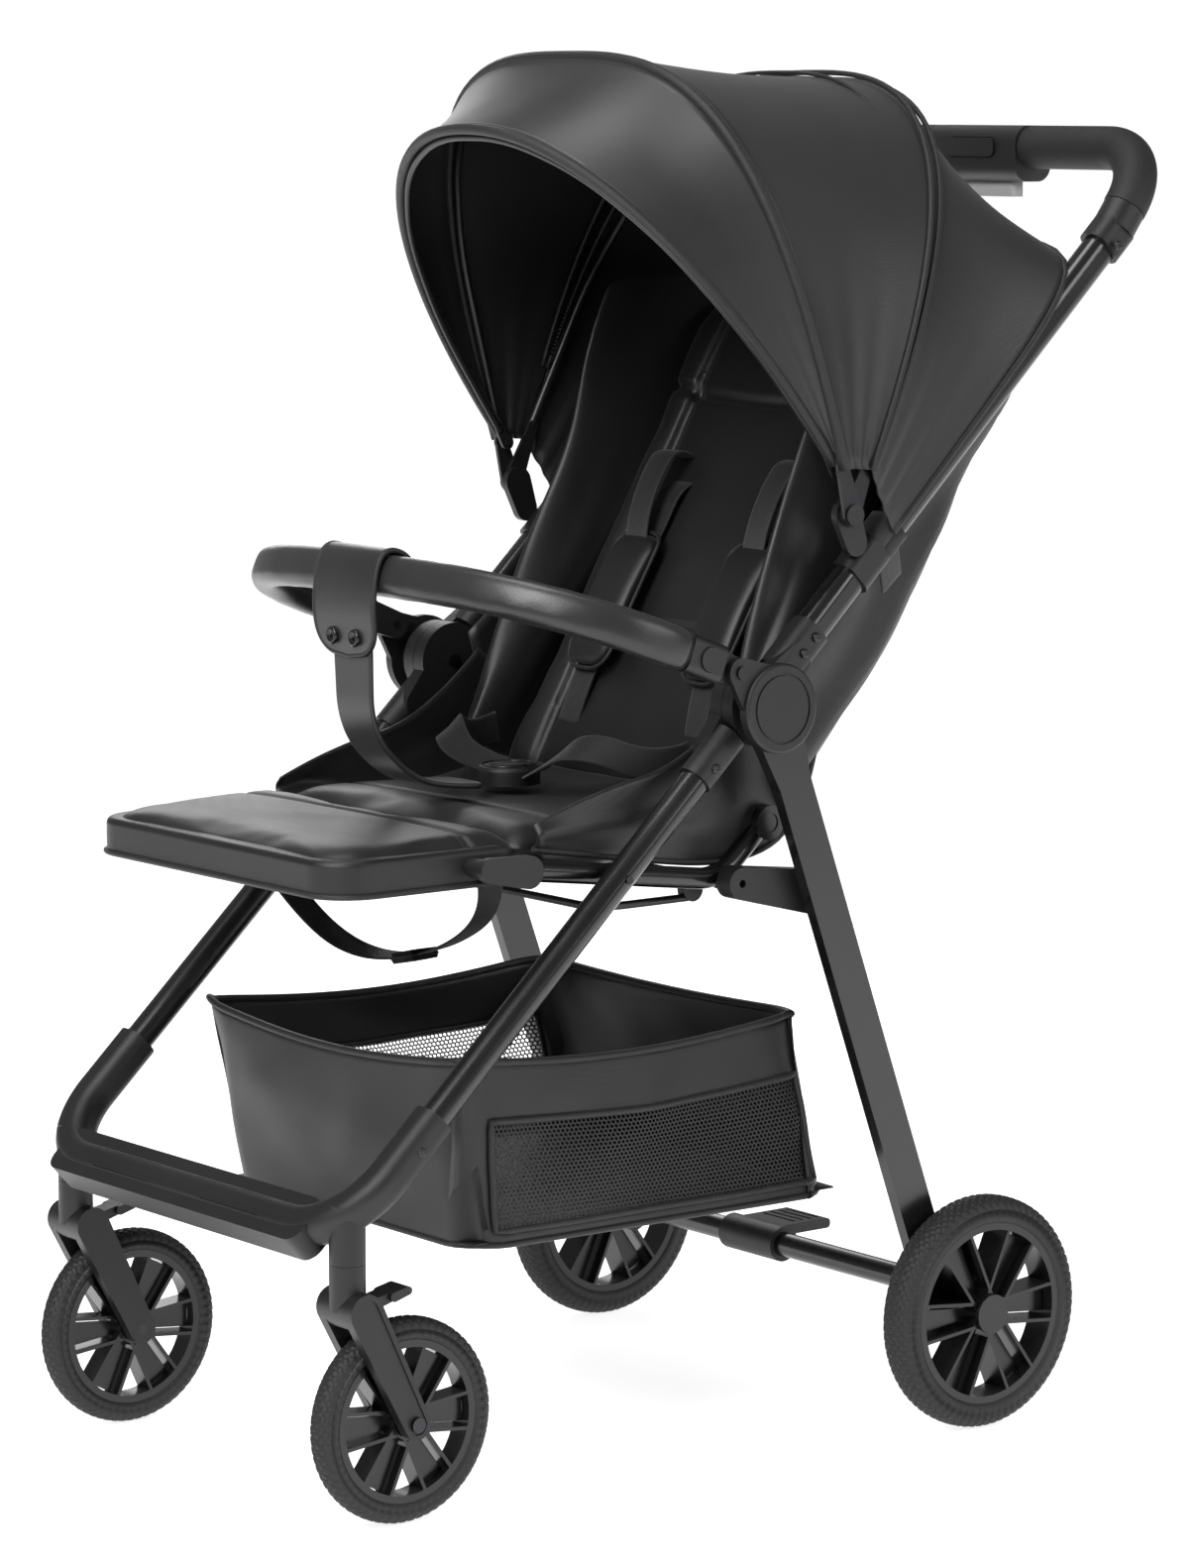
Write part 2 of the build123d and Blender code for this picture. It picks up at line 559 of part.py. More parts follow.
BACK_HALF = RAIL_X - RAIL_R - 5
back_side = Plane(
    origin=(0, *BACK_HINGE),
    x_dir=(1, 0, 0),
    z_dir=(0, -sin(radians(BACK_ANGLE)), cos(radians(BACK_ANGLE))),
)
with BuildPart() as back_pad:
    with BuildSketch(back_side.offset(-BACK_THICK / 2)):
        with Locations((0, BACK_LENGTH / 2 + 8)):
            RectangleRounded(2 * BACK_HALF, BACK_LENGTH - 16, 26)
        with Locations((0, BACK_LENGTH / 4)):
            Rectangle(2 * BACK_HALF, BACK_LENGTH / 2)
    extrude(amount=BACK_THICK)
    disc(-BACK_HALF - 1, BACK_HALF + 1, BACK_HINGE, 7 + GAP, mode=Mode.SUBTRACT)
    disc(-BACK_HALF - 1, BACK_HALF + 1, BACK_HINGE, 13)
    disc(-BACK_HALF - 2, BACK_HALF + 2, BACK_HINGE, 7 + GAP, mode=Mode.SUBTRACT)
save(back_pad.part, "back_pad")

# Harness: two shoulder straps with pads on the back, and the buckle on the seat
STRAP = 25.0
with BuildPart() as harness:
    with BuildSketch(back_side.offset(BACK_THICK / 2 + 0.5)):
        for x in (-70, 70):
            with Locations((x, 160)):
                RectangleRounded(STRAP, 150, 4)
    extrude(amount=2.5)
    with BuildSketch(back_side.offset(BACK_THICK / 2 + 3)):
        for x in (-70, 70):
            with Locations((x, 150)):
                RectangleRounded(STRAP + 28, 110, 16)
    extrude(amount=8)
save(harness.part, "harness")

BUCKLE = (RAIL_PIVOT[0] + 44, RAIL_PIVOT[1] + 45)
with BuildPart() as buckle:
    with BuildSketch(Plane.XY.offset(BUCKLE[1])):
        with Locations((0, BUCKLE[0])):
            Circle(24)
    extrude(amount=14)
    fillet(buckle.edges().sort_by(Axis.Z)[-1], 4)
    with BuildSketch(Plane.XY.offset(BUCKLE[1] + 9)):
        with Locations((0, BUCKLE[0])):
            Circle(14 + GAP)
    extrude(amount=6, mode=Mode.SUBTRACT)
save(buckle.part, "buckle")

with BuildPart() as buckle_button:
    with BuildSketch(Plane.XY.offset(BUCKLE[1] + 11.5)):
        with Locations((0, BUCKLE[0])):
            Circle(14)
    extrude(amount=3.5)
save(buckle_button.part, "buckle_button")

# Handle: a bent tube in a foam grip, with a collar on each push tube
GRIP_R = 17.0
HANDLE_RISE = 10.0      # the handle bends up from the push tubes by this angle
HANDLE_DEPTH = 76.0
HANDLE_BEND = 52.0
RELEASE_HALF = 52.0
handle_plane = Plane(
    origin=(0, *push(PUSH_LENGTH)),
    x_dir=(1, 0, 0),
    z_dir=(0, -sin(radians(PUSH_SLOPE + HANDLE_RISE)), cos(radians(PUSH_SLOPE + HANDLE_RISE))),
)
HANDLE = at(push(PUSH_LENGTH), PUSH_SLOPE + HANDLE_RISE, HANDLE_DEPTH)


def bent_handle(start, outer, inner):
    """The U of the handle, from a distance past the push tubes round its two bends."""
    with BuildLine(handle_plane) as path:
        FilletPolyline(
            (-TUBE_X, start),
            (-TUBE_X, HANDLE_DEPTH),
            (TUBE_X, HANDLE_DEPTH),
            (TUBE_X, start),
            radius=HANDLE_BEND,
        )
    with BuildSketch(Plane(origin=path.line @ 0, z_dir=path.line % 0)) as ring:
        Circle(outer)
        Circle(inner, mode=Mode.SUBTRACT)
    sweep(ring.sketch, path=path.line)


with BuildPart() as handle_tube:
    bent_handle(4, TUBE_R - 1, TUBE_R - 1 - TUBE_WALL)
save(handle_tube.part, "handle_tube")

with BuildPart() as handle_grip:
    bent_handle(20, GRIP_R, TUBE_R - 1)
    disc(-RELEASE_HALF, RELEASE_HALF, HANDLE, GRIP_R + 1, mode=Mode.SUBTRACT)
save(handle_grip.part, "handle_grip")

COLLAR_BACK = 20.0
with BuildPart() as collar:
    flat_tube(TUBE_X, push(PUSH_LENGTH - COLLAR_BACK), push(PUSH_LENGTH + 4), 28, PUSH_DEPTH + 6, 11)
    tube(TUBE_X, push(PUSH_LENGTH), at(push(PUSH_LENGTH), PUSH_SLOPE + HANDLE_RISE, 19.5), 16.5)
    flat_tube(
        TUBE_X, push(PUSH_LENGTH - COLLAR_BACK - 1), push(PUSH_LENGTH), 2 * TUBE_R - 1, PUSH_DEPTH, 9,
        mode=Mode.SUBTRACT,
    )
    tube(
        TUBE_X,
        at(push(PUSH_LENGTH), PUSH_SLOPE + HANDLE_RISE, 4),
        at(push(PUSH_LENGTH), PUSH_SLOPE + HANDLE_RISE, 30),
        TUBE_R - 1,
        mode=Mode.SUBTRACT,
    )
save_both(collar.part, "handle_collars")

# Release housing on the middle of the handle, with its squeeze lever and safety button
HOUSING_DEPTH = 38.0
HOUSING_TALL = 44.0
HOUSING = (HANDLE[0], HANDLE[1] - 5)
HOUSING_FLOOR = HOUSING[1] - HOUSING_TALL / 2
LEVER_HALF = 36.0
LEVER_DEPTH = 12.0
LEVER_TRAVEL = 6.0
BUTTON_HALF = 28.0
BUTTON_TALL = 15.0
with BuildPart() as release_housing:
    with BuildSketch(side(-RELEASE_HALF)):
        with Locations(HOUSING):
            RectangleRounded(HOUSING_DEPTH, HOUSING_TALL, 13)
        with Locations(HANDLE):
            Circle(TUBE_R - 1, mode=Mode.SUBTRACT)
    extrude(amount=2 * RELEASE_HALF)
    with BuildSketch(Plane.XY.offset(HOUSING_FLOOR)):
        with Locations((0, HOUSING[0])):
            Rectangle(2 * LEVER_HALF + 1, LEVER_DEPTH + 1)
    extrude(amount=4 + LEVER_TRAVEL + 1, mode=Mode.SUBTRACT)
    with BuildSketch(Plane.XZ.offset(HOUSING_DEPTH / 2 - HOUSING[0])):
        with Locations((0, HANDLE[1])):
            RectangleRounded(2 * BUTTON_HALF + 1, BUTTON_TALL + 1, 6)
    extrude(amount=-5, mode=Mode.SUBTRACT)
save(release_housing.part, "release_housing")

with BuildPart() as release_lever:
    with BuildSketch(Plane.XY.offset(HOUSING_FLOOR - 12)):
        with Locations((0, HOUSING[0])):
            RectangleRounded(2 * LEVER_HALF, LEVER_DEPTH, 3)
    extrude(amount=12 + 4)
save(release_lever.part, "release_lever")

with BuildPart() as safety_button:
    with BuildSketch(Plane.XZ.offset(HOUSING_DEPTH / 2 - HOUSING[0] - 3)):
        with Locations((0, HANDLE[1])):
            RectangleRounded(2 * BUTTON_HALF, BUTTON_TALL, 5.5)
    extrude(amount=5)
save(safety_button.part, "safety_button")

# Canopy clips: a clamp on each push tube, with the pin that the bows turn on
CANOPY = push(CANOPY_REACH, CANOPY_RISE)
CLIP_REACH = CANOPY_REACH - 9
EAR = 2.8
EAR_GAP = 0.3
REAR_EAR_X = HUB_FACE + 0.4
MID_EAR_X = REAR_EAR_X + EAR + EAR_GAP
with BuildPart() as canopy_clip:
    flat_tube(TUBE_X, push(CLIP_REACH - 16), push(CLIP_REACH + 16), 2 * HUB_HALF, PUSH_DEPTH + 5, 10)
    link(HUB_FACE - 6, HUB_FACE, (push(CLIP_REACH, 22), 10), (CANOPY, 12))
    disc(HUB_FACE - 6, MID_EAR_X + EAR, CANOPY, 4)
    disc(MID_EAR_X + EAR + EAR_GAP, MID_EAR_X + EAR + 2, CANOPY, 8)
    disc(MID_EAR_X + EAR - 0.1, MID_EAR_X + EAR + 2, CANOPY, 4)
    flat_tube(
        TUBE_X, push(CLIP_REACH - 17), push(CLIP_REACH + 17), 2 * TUBE_R - 1, PUSH_DEPTH, 9,
        mode=Mode.SUBTRACT,
    )
save_both(canopy_clip.part, "canopy_clips")

# Canopy bows: bent rods, each with a flat ear on the pin
EAR_LENGTH = 44.0
REAR_BOW_ANGLE = 65.9
MID_BOW_ANGLE = 106.8
FRONT_BOW_ANGLE = 127.0
BOW_HEIGHT = 343.5
VISOR_HEIGHT = 308.0
VISOR_RISE = 33.0       # visor hinge, up the middle bow from the canopy pivot
VISOR_X = TUBE_X + 10
VISOR = at(CANOPY, MID_BOW_ANGLE, VISOR_RISE)


def arch_plane(base, angle):
    """The plane across the stroller that leans at an angle from a side-view point."""
    return Plane(
        origin=(0, *base),
        x_dir=(1, 0, 0),
        z_dir=(0, -sin(radians(angle)), cos(radians(angle))),
    )


def arch(half_width, height, squareness, steps, start=0.0):
    """Points of a squarish arch, from one foot over the top to the other."""
    points = []
    for step in range(steps + 1):
        t = pi * step / steps
        across_share = abs(cos(t)) ** (2 / squareness)
        up_share = sin(t) ** (2 / squareness) if 0 < step < steps else 0.0
        turn = 1 if t < pi / 2 else -1
        points.append((turn * half_width * across_share, start + (height - start) * up_share))
    return points


def corner_radii(points):
    """The largest arc that each corner of a route leaves room for."""
    radii = []
    for a, b, c in zip(points, points[1:], points[2:]):
        into = (b[0] - a[0], b[1] - a[1])
        out = (c[0] - b[0], c[1] - b[1])
        turn = abs(atan2(into[0] * out[1] - into[1] * out[0], into[0] * out[0] + into[1] * out[1]))
        radii.append(0.45 * min(hypot(*into), hypot(*out)) / tan(turn / 2))
    return radii


def make_bow(base, angle, ear_x, ear_end, half_width, height, squareness, radius):
    """A bow: the bent rod, and an ear on the inside of each end."""
    route = arch(half_width, height, squareness, 9, ear_end)
    with BuildPart() as bow:
        with BuildLine(arch_plane(base, angle)) as path:
            FilletPolyline(*route, radius=corner_radii(route))
        with BuildSketch(Plane(origin=path.line @ 0, z_dir=path.line % 0)):
            Circle(radius)
        sweep()
        for x0 in (ear_x, -ear_x - EAR):
            link(x0, x0 + EAR, (base, 9), (at(base, angle, ear_end + 4), 4))
            disc(x0 - 1, x0 + EAR + 1, base, 4.1, mode=Mode.SUBTRACT)
    return bow.part


BOW_HALF = TUBE_X + 17
rear_bow = make_bow(CANOPY, REAR_BOW_ANGLE, REAR_EAR_X, EAR_LENGTH, BOW_HALF, BOW_HEIGHT, 2.7, BOW_R)
save(rear_bow, "rear_bow")
mid_bow = make_bow(CANOPY, MID_BOW_ANGLE, MID_EAR_X, EAR_LENGTH, BOW_HALF, BOW_HEIGHT, 3.1, BOW_R)
with BuildPart() as mid_bow_with_pins:
    add(mid_bow)
    for x0 in (VISOR_X - 2, -MID_EAR_X - EAR / 2):
        disc(x0, x0 + MID_EAR_X + EAR / 2 - VISOR_X + 2, VISOR, 2.5)
    for x0 in (MID_EAR_X, -MID_EAR_X - EAR):
        disc(x0, x0 + EAR, VISOR, 6)
save(mid_bow_with_pins.part, "mid_bow")

visor_route = arch(VISOR_X, VISOR_HEIGHT, 2.2, 9, 12)
with BuildPart() as front_bow:
    with BuildLine(arch_plane(VISOR, FRONT_BOW_ANGLE)) as visor_line:
        FilletPolyline(*visor_route, radius=corner_radii(visor_route))
    with BuildSketch(Plane(origin=visor_line.line @ 0, z_dir=visor_line.line % 0)):
        Circle(2.8)
    sweep()
    for x0 in (VISOR_X - EAR / 2, -VISOR_X - EAR / 2):
        link(x0, x0 + EAR, (VISOR, 5.5), (at(VISOR, FRONT_BOW_ANGLE, 14), 3))
        disc(x0 - 1, x0 + EAR + 1, VISOR, 2.6, mode=Mode.SUBTRACT)
save(front_bow.part, "front_bow")

# Canopy panels: the fabric between the bows, and from the rear bow to the push tubes
CLOTH_HALF = BOW_HALF + BOW_R + 1
CLOTH_FOOT = 50.0


def arch_face(base, angle, half_width, height, squareness, start):
    """The cut edge of the fabric in the plane of one bow."""
    outer = arch(half_width + CLOTH, height + CLOTH, squareness, 12, start)
    inner = arch(half_width, height, squareness, 12, start)
    with BuildSketch(arch_plane(base, angle)) as face:
        with BuildLine():
            Spline(*outer)
            Line(outer[-1], inner[-1])
            Spline(*inner)
            Line(inner[0], outer[0])
        make_face()
    return face.sketch.faces()[0]


rear_edge = arch_face(CANOPY, REAR_BOW_ANGLE - 1, CLOTH_HALF, BOW_HEIGHT + 5, 2.7, CLOTH_FOOT)
rear_edge_of_mid = arch_face(CANOPY, REAR_BOW_ANGLE + 1, CLOTH_HALF, BOW_HEIGHT + 5, 2.7, CLOTH_FOOT)
mid_edge = arch_face(CANOPY, MID_BOW_ANGLE - 0.5, CLOTH_HALF, BOW_HEIGHT + 5, 3.1, CLOTH_FOOT)
mid_edge_of_front = arch_face(VISOR, MID_BOW_ANGLE + 3, CLOTH_HALF, BOW_HEIGHT - VISOR_RISE + 5, 3.1, 22)
front_edge = arch_face(VISOR, FRONT_BOW_ANGLE, VISOR_X + 4, VISOR_HEIGHT + 4, 2.2, 22)
tail_edge = arch_face(push(CANOPY_REACH + 14, 19), PUSH_SLOPE + 9, TUBE_X + 8, 352, 3.0, 4)
panels = {
    "canopy_rear_panel": (tail_edge, rear_edge),
    "canopy_mid_panel": (rear_edge_of_mid, mid_edge),
    "canopy_front_panel": (mid_edge_of_front, front_edge),
}
for name, edges in panels.items():
    with BuildPart() as panel:
        loft(edges, ruled=True)
    save(panel.part, name)

# Bumper bar: an end piece on each hub cap's ear, a release button in each end,
# the padded bar between them, and the flap and strap at its middle
BAR_WIDE = 22.0
BAR_TALL = 30.0
END_LENGTH = 54.0
END_X = TUBE_X + 26
BUMPER_BUTTON_R = 9.0
BUTTON_REACH = 36.0
bumper_plane = arch_plane(BUMPER, BUMPER_ANGLE)
with BuildPart() as bumper_end:
    link(LEG_X + 0.4, CAP_X - 0.4, (BUMPER, 10.5), (at(BUMPER, BUMPER_ANGLE, 26), 12))
    flat_tube(
        END_X, at(BUMPER, BUMPER_ANGLE, 22), at(BUMPER, BUMPER_ANGLE, END_LENGTH), 20, BAR_TALL - 2, 6
    )
    disc(LEG_X - 1, CAP_X, BUMPER, 3.1, mode=Mode.SUBTRACT)
    disc(END_X + 4, END_X + 12, at(BUMPER, BUMPER_ANGLE, BUTTON_REACH), BUMPER_BUTTON_R + 0.4,
         mode=Mode.SUBTRACT)
save_both(bumper_end.part, "bumper_ends")

with BuildPart() as bumper_button:
    disc(END_X + 7, END_X + 11.5, at(BUMPER, BUMPER_ANGLE, BUTTON_REACH), BUMPER_BUTTON_R)
save_pair(bumper_button.part, "bumper_button")

bar_half = (
    (END_X, END_LENGTH + 1.5),
    (TUBE_X + 30, 98),
    (TUBE_X - 18, BUMPER_REACH - 30),
    (TUBE_X - 101, BUMPER_REACH),
)
bar_route = [(-x, reach) for x, reach in bar_half] + list(reversed(bar_half))
with BuildPart() as bumper_bar:
    with BuildLine(bumper_plane) as bar_line:
        FilletPolyline(*bar_route, radius=corner_radii(bar_route))
    with BuildSketch(Plane(origin=bar_line.line @ 0, x_dir=bumper_plane.z_dir, z_dir=bar_line.line % 0)):
        RectangleRounded(BAR_TALL, BAR_WIDE, 9)
    sweep()
save(bumper_bar.part, "bumper_bar")

FLAP_HALF = 38.0
FLAP_THICK = 3.0
FLAP_DROP = 46.0
FLAP_FRONT = BAR_WIDE / 2 + 4.2     # inside of the flap, forward of the bar's middle
bar_middle = at(BUMPER, BUMPER_ANGLE, BUMPER_REACH)
with BuildPart() as bumper_flap:
    with BuildSketch(side(-FLAP_HALF)) as wrap:
        with Locations(Location((*bar_middle, 0), BUMPER_ANGLE)):
            RectangleRounded(BAR_WIDE + 2 * FLAP_THICK + 0.6, BAR_TALL + 2 * FLAP_THICK + 0.6, 11)
            RectangleRounded(BAR_WIDE + 0.6, BAR_TALL + 0.6, 9, mode=Mode.SUBTRACT)
    extrude(wrap.sketch, amount=2 * FLAP_HALF)
    with BuildSketch(Plane.XZ.offset(FLAP_FRONT - bar_middle[0])):
        with Locations((0, bar_middle[1] - FLAP_DROP / 2 - 4)):
            RectangleRounded(2 * FLAP_HALF, FLAP_DROP + 8, 20)
    extrude(amount=FLAP_THICK)
save(bumper_flap.part, "bumper_flap")

STRAP_WIDTH = 50.0
with BuildPart() as crotch_strap:
    with BuildSketch(side(-STRAP_WIDTH / 2)) as strip:
        with BuildLine():
            FilletPolyline(
                (bar_middle[0] - 8, bar_middle[1] - 20),
                (bar_middle[0] - 4, bar_middle[1] - 70),
                (CALF_HINGE[0] + 12, CALF_HINGE[1] + 58),
                (CALF_HINGE[0] + 48, CALF_HINGE[1] + SEAT_THICK + 7),
                (CALF_HINGE[0] + 74, CALF_HINGE[1] + SEAT_THICK + 7),
                radius=28,
            )
        trace(line_width=3)
    extrude(strip.sketch, amount=STRAP_WIDTH)
save(crotch_strap.part, "crotch_strap")
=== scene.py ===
"""The baby stroller's looks: fabric, padding, webbing, tyres and every finish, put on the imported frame."""

import json
from math import cos, pi, radians, sin

import bmesh
import bpy
from mathutils import Matrix, Vector, noise


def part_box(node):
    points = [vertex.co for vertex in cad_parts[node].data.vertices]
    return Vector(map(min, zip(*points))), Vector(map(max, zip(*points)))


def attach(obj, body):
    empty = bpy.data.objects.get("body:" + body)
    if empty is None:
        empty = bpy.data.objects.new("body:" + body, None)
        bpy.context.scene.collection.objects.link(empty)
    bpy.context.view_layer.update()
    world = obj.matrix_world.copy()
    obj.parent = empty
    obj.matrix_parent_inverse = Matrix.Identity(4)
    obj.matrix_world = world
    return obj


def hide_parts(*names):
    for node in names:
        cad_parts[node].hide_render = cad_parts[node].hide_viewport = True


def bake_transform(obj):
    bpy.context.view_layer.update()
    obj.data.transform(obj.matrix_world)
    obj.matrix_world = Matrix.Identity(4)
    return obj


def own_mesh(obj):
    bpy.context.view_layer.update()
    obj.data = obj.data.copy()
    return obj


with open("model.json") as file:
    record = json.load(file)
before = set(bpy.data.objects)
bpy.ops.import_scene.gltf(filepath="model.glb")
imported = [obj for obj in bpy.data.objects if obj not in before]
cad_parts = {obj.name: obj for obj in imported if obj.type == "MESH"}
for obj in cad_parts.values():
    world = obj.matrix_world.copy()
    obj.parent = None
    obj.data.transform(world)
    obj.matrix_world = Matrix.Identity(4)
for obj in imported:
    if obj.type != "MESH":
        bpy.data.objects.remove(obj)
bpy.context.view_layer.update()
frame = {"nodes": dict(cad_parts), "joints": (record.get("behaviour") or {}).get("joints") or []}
nodes = frame["nodes"]
pivot = {joint["name"]: Vector(joint["pos_m"]) for joint in frame["joints"] if "pos_m" in joint}

# ---------------------------------------------------------------- studio
# A pale floor that runs into a white background, three soft lights above and
# beside, and a weak one behind that draws the bright lines along the tubes.
scene = bpy.context.scene
scene.view_settings.view_transform = "Standard"
world = bpy.data.worlds.new("studio_white")
world.use_nodes = True
world.node_tree.nodes["Background"].inputs["Color"].default_value = (1.0, 1.0, 1.0, 1)
world.node_tree.nodes["Background"].inputs["Strength"].default_value = 0.21
scene.world = world


def soft_light(name, place, size, watts):
    """A square soft light that points at the middle of the stroller."""
    lamp = bpy.data.lights.new(name, "AREA")
    lamp.size = size
    lamp.energy = watts
    holder = bpy.data.objects.new(name, lamp)
    holder.location = place
    aim = Vector((0, 0, 0.55)) - Vector(place)
    holder.rotation_euler = aim.to_track_quat("-Z", "Y").to_euler()
    scene.collection.objects.link(holder)


soft_light("key", (0.9, -2.6, 2.6), 1.6, 92)
soft_light("top", (-0.2, -0.5, 3.3), 1.2, 26)
soft_light("side", (3.0, 1.4, 1.7), 1.3, 24)
soft_light("back", (-2.4, 1.2, 1.5), 1.2, 12)

ball = bmesh.new()
bmesh.ops.create_icosphere(ball, subdivisions=4, radius=14.0)
backdrop_mesh = bpy.data.meshes.new("backdrop")
ball.to_mesh(backdrop_mesh)
ball.free()
backdrop = bpy.data.objects.new("backdrop", backdrop_mesh)
scene.collection.objects.link(backdrop)
glow = bpy.data.materials.new("white_backdrop")
glow.use_nodes = True
glow.node_tree.nodes["Principled BSDF"].inputs["Base Color"].default_value = (0, 0, 0, 1)
glow.node_tree.nodes["Principled BSDF"].inputs["Emission Color"].default_value = (1, 1, 1, 1)
glow.node_tree.nodes["Principled BSDF"].inputs["Emission Strength"].default_value = 1.0
backdrop_mesh.materials.append(glow)
backdrop.visible_diffuse = backdrop.visible_glossy = backdrop.visible_shadow = False

floor_mesh = bpy.data.meshes.new("floor")
FLOOR_HALF = 9
FLOOR_LEVEL = -0.0005
floor_corners = [(x * FLOOR_HALF, y * FLOOR_HALF, FLOOR_LEVEL) for x, y in ((-1, -1), (1, -1), (1, 1), (-1, 1))]
floor_mesh.from_pydata(floor_corners, [], [(0, 1, 2, 3)])
floor = bpy.data.objects.new("floor", floor_mesh)
scene.collection.objects.link(floor)
pale = bpy.data.materials.new("pale_floor")
pale.use_nodes = True
pale.node_tree.nodes["Principled BSDF"].inputs["Base Color"].default_value = (0.92, 0.92, 0.92, 1)
pale.node_tree.nodes["Principled BSDF"].inputs["Roughness"].default_value = 0.8
pale.node_tree.nodes["Principled BSDF"].inputs["Emission Color"].default_value = (1, 1, 1, 1)
pale.node_tree.nodes["Principled BSDF"].inputs["Emission Strength"].default_value = 0.82
floor_mesh.materials.append(pale)
floor.visible_diffuse = False

camera_data = bpy.data.cameras.new("camera")
camera_data.lens = 117.15
camera_data.sensor_width = 36.0
camera_data.sensor_fit = "AUTO"
camera = bpy.data.objects.new("camera", camera_data)
camera.location = (3.0397, -2.3756, 1.0054)
camera.rotation_euler = (radians(82.27), 0, radians(52.12))
scene.collection.objects.link(camera)
scene.camera = camera

# ---------------------------------------------------------------- frame tubes
# Drawn aluminium tube in a satin black powder coat: two round front tubes, two
# flat-sided push tubes, the seat rails, and flat pressed rear legs on a round axle.


def coat(name, colour, rough, metal=0.0, grain=1400.0, depth=0.03, cloudy=0.06):
    """A finish with a fine grain, and slow changes of gloss and of tone."""
    made = bpy.data.materials.new(name)
    made.use_nodes = True
    tree = made.node_tree
    shader = tree.nodes["Principled BSDF"]
    shader.inputs["Metallic"].default_value = metal
    place = tree.nodes.new("ShaderNodeTexCoord")
    clouds = tree.nodes.new("ShaderNodeTexNoise")
    clouds.inputs["Scale"].default_value = 9.0
    clouds.inputs["Detail"].default_value = 5.0
    tree.links.new(place.outputs["Object"], clouds.inputs["Vector"])
    gloss = tree.nodes.new("ShaderNodeMapRange")
    gloss.inputs["From Min"].default_value = 0.3
    gloss.inputs["From Max"].default_value = 0.7
    gloss.inputs["To Min"].default_value = rough - cloudy
    gloss.inputs["To Max"].default_value = rough + cloudy
    tree.links.new(clouds.outputs["Fac"], gloss.inputs["Value"])
    tree.links.new(gloss.outputs["Result"], shader.inputs["Roughness"])
    tint = tree.nodes.new("ShaderNodeValToRGB")
    tint.color_ramp.elements[0].position = 0.3
    tint.color_ramp.elements[0].color = (*[c * 0.82 for c in colour], 1)
    tint.color_ramp.elements[1].position = 0.75
    tint.color_ramp.elements[1].color = (*[c * 1.2 for c in colour], 1)
    tree.links.new(clouds.outputs["Fac"], tint.inputs["Fac"])
    tree.links.new(tint.outputs["Color"], shader.inputs["Base Color"])
    speckle = tree.nodes.new("ShaderNodeTexNoise")
    speckle.inputs["Scale"].default_value = grain
    speckle.inputs["Detail"].default_value = 2.0
    tree.links.new(place.outputs["Object"], speckle.inputs["Vector"])
    bump = tree.nodes.new("ShaderNodeBump")
    bump.inputs["Strength"].default_value = depth
    bump.inputs["Distance"].default_value = 0.001
    tree.links.new(speckle.outputs["Fac"], bump.inputs["Height"])
    tree.links.new(bump.outputs["Normal"], shader.inputs["Normal"])
    return made


def paint(material, *names):
    """Give CAD nodes a finish in place of the plain one that they came with."""
    for name in names:
        nodes[name].data.materials.clear()
        nodes[name].data.materials.append(material)


def both(*names):
    return [f"{name}_{hand}" for name in names for hand in ("left", "right")]


powder_coat = coat("satin_black_powder_coat", (0.009, 0.009, 0.0095), 0.24, grain=1800, depth=0.05)
powder_coat.node_tree.nodes["Principled BSDF"].inputs["Coat Weight"].default_value = 0.35
powder_coat.node_tree.nodes["Principled BSDF"].inputs["Coat Roughness"].default_value = 0.16
paint(powder_coat, *both("front_tube", "push_tube", "rear_leg"))
paint(powder_coat, "rear_axle", "seat_frame", "handle_tube", "back_hinge")

# ---------------------------------------------------------------- moulded plastic
# Glass-filled nylon with a fine spark-eroded texture: the folding hubs, the foot
# bar, the caster forks, the brake pedal, the clips and the release housing.
nylon = coat("fine_matt_black_nylon", (0.012, 0.012, 0.0125), 0.42, grain=2600, depth=0.22, cloudy=0.05)
paint(nylon, *both("lower_hub", "upper_hub", "caster_fork", "swivel_lock", "bumper_button"))
paint(nylon, "foot_bar", "handle_collars", "release_housing", "canopy_clips", "axle_brackets", "braces")
paint(nylon, "bumper_ends", "brake_pedal", "buckle", "buckle_button", "safety_button", "hub_caps")
gloss_nylon = coat("polished_black_nylon", (0.01, 0.01, 0.011), 0.24, grain=900, depth=0.02, cloudy=0.04)
paint(gloss_nylon, *both("front_rim", "rear_rim"))
lever_plastic = coat("light_grey_lever_plastic", (0.66, 0.66, 0.67), 0.34, grain=1800, depth=0.06)
paint(lever_plastic, "release_lever")

# ---------------------------------------------------------------- steel
# Screws, rivets and axle bolts are dark zinc; the sprung bows and the recline
# wire are black-oxide steel rod.
bolt_steel = coat("dark_zinc_steel", (0.055, 0.055, 0.058), 0.33, metal=1.0, grain=700, depth=0.05)
paint(bolt_steel, "frame_pins", *both("front_axle"))
rod_steel = coat("black_oxide_rod", (0.05, 0.05, 0.053), 0.34, metal=0.7, grain=1200, depth=0.05)
paint(rod_steel, "rear_bow", "mid_bow", "front_bow", "recline_wire")

# ---------------------------------------------------------------- foam grip
# Closed-cell foam pushed over the handle: dull, with fine pores all over it.
foam = coat("black_foam", (0.014, 0.014, 0.0145), 0.62, grain=1100, depth=0.5, cloudy=0.05)
paint(foam, "handle_grip")

# ---------------------------------------------------------------- tyres
# Foamed rubber tyres pressed onto the rims. The tread is a net of diamonds between
# crossed grooves, and short ribs run down each shoulder.
rubber = coat("foamed_black_rubber", (0.022, 0.022, 0.023), 0.58, grain=1500, depth=0.28, cloudy=0.06)
WHEELS = (("front", 30, 0.0745, 0.0585), ("rear", 36, 0.089, 0.069))


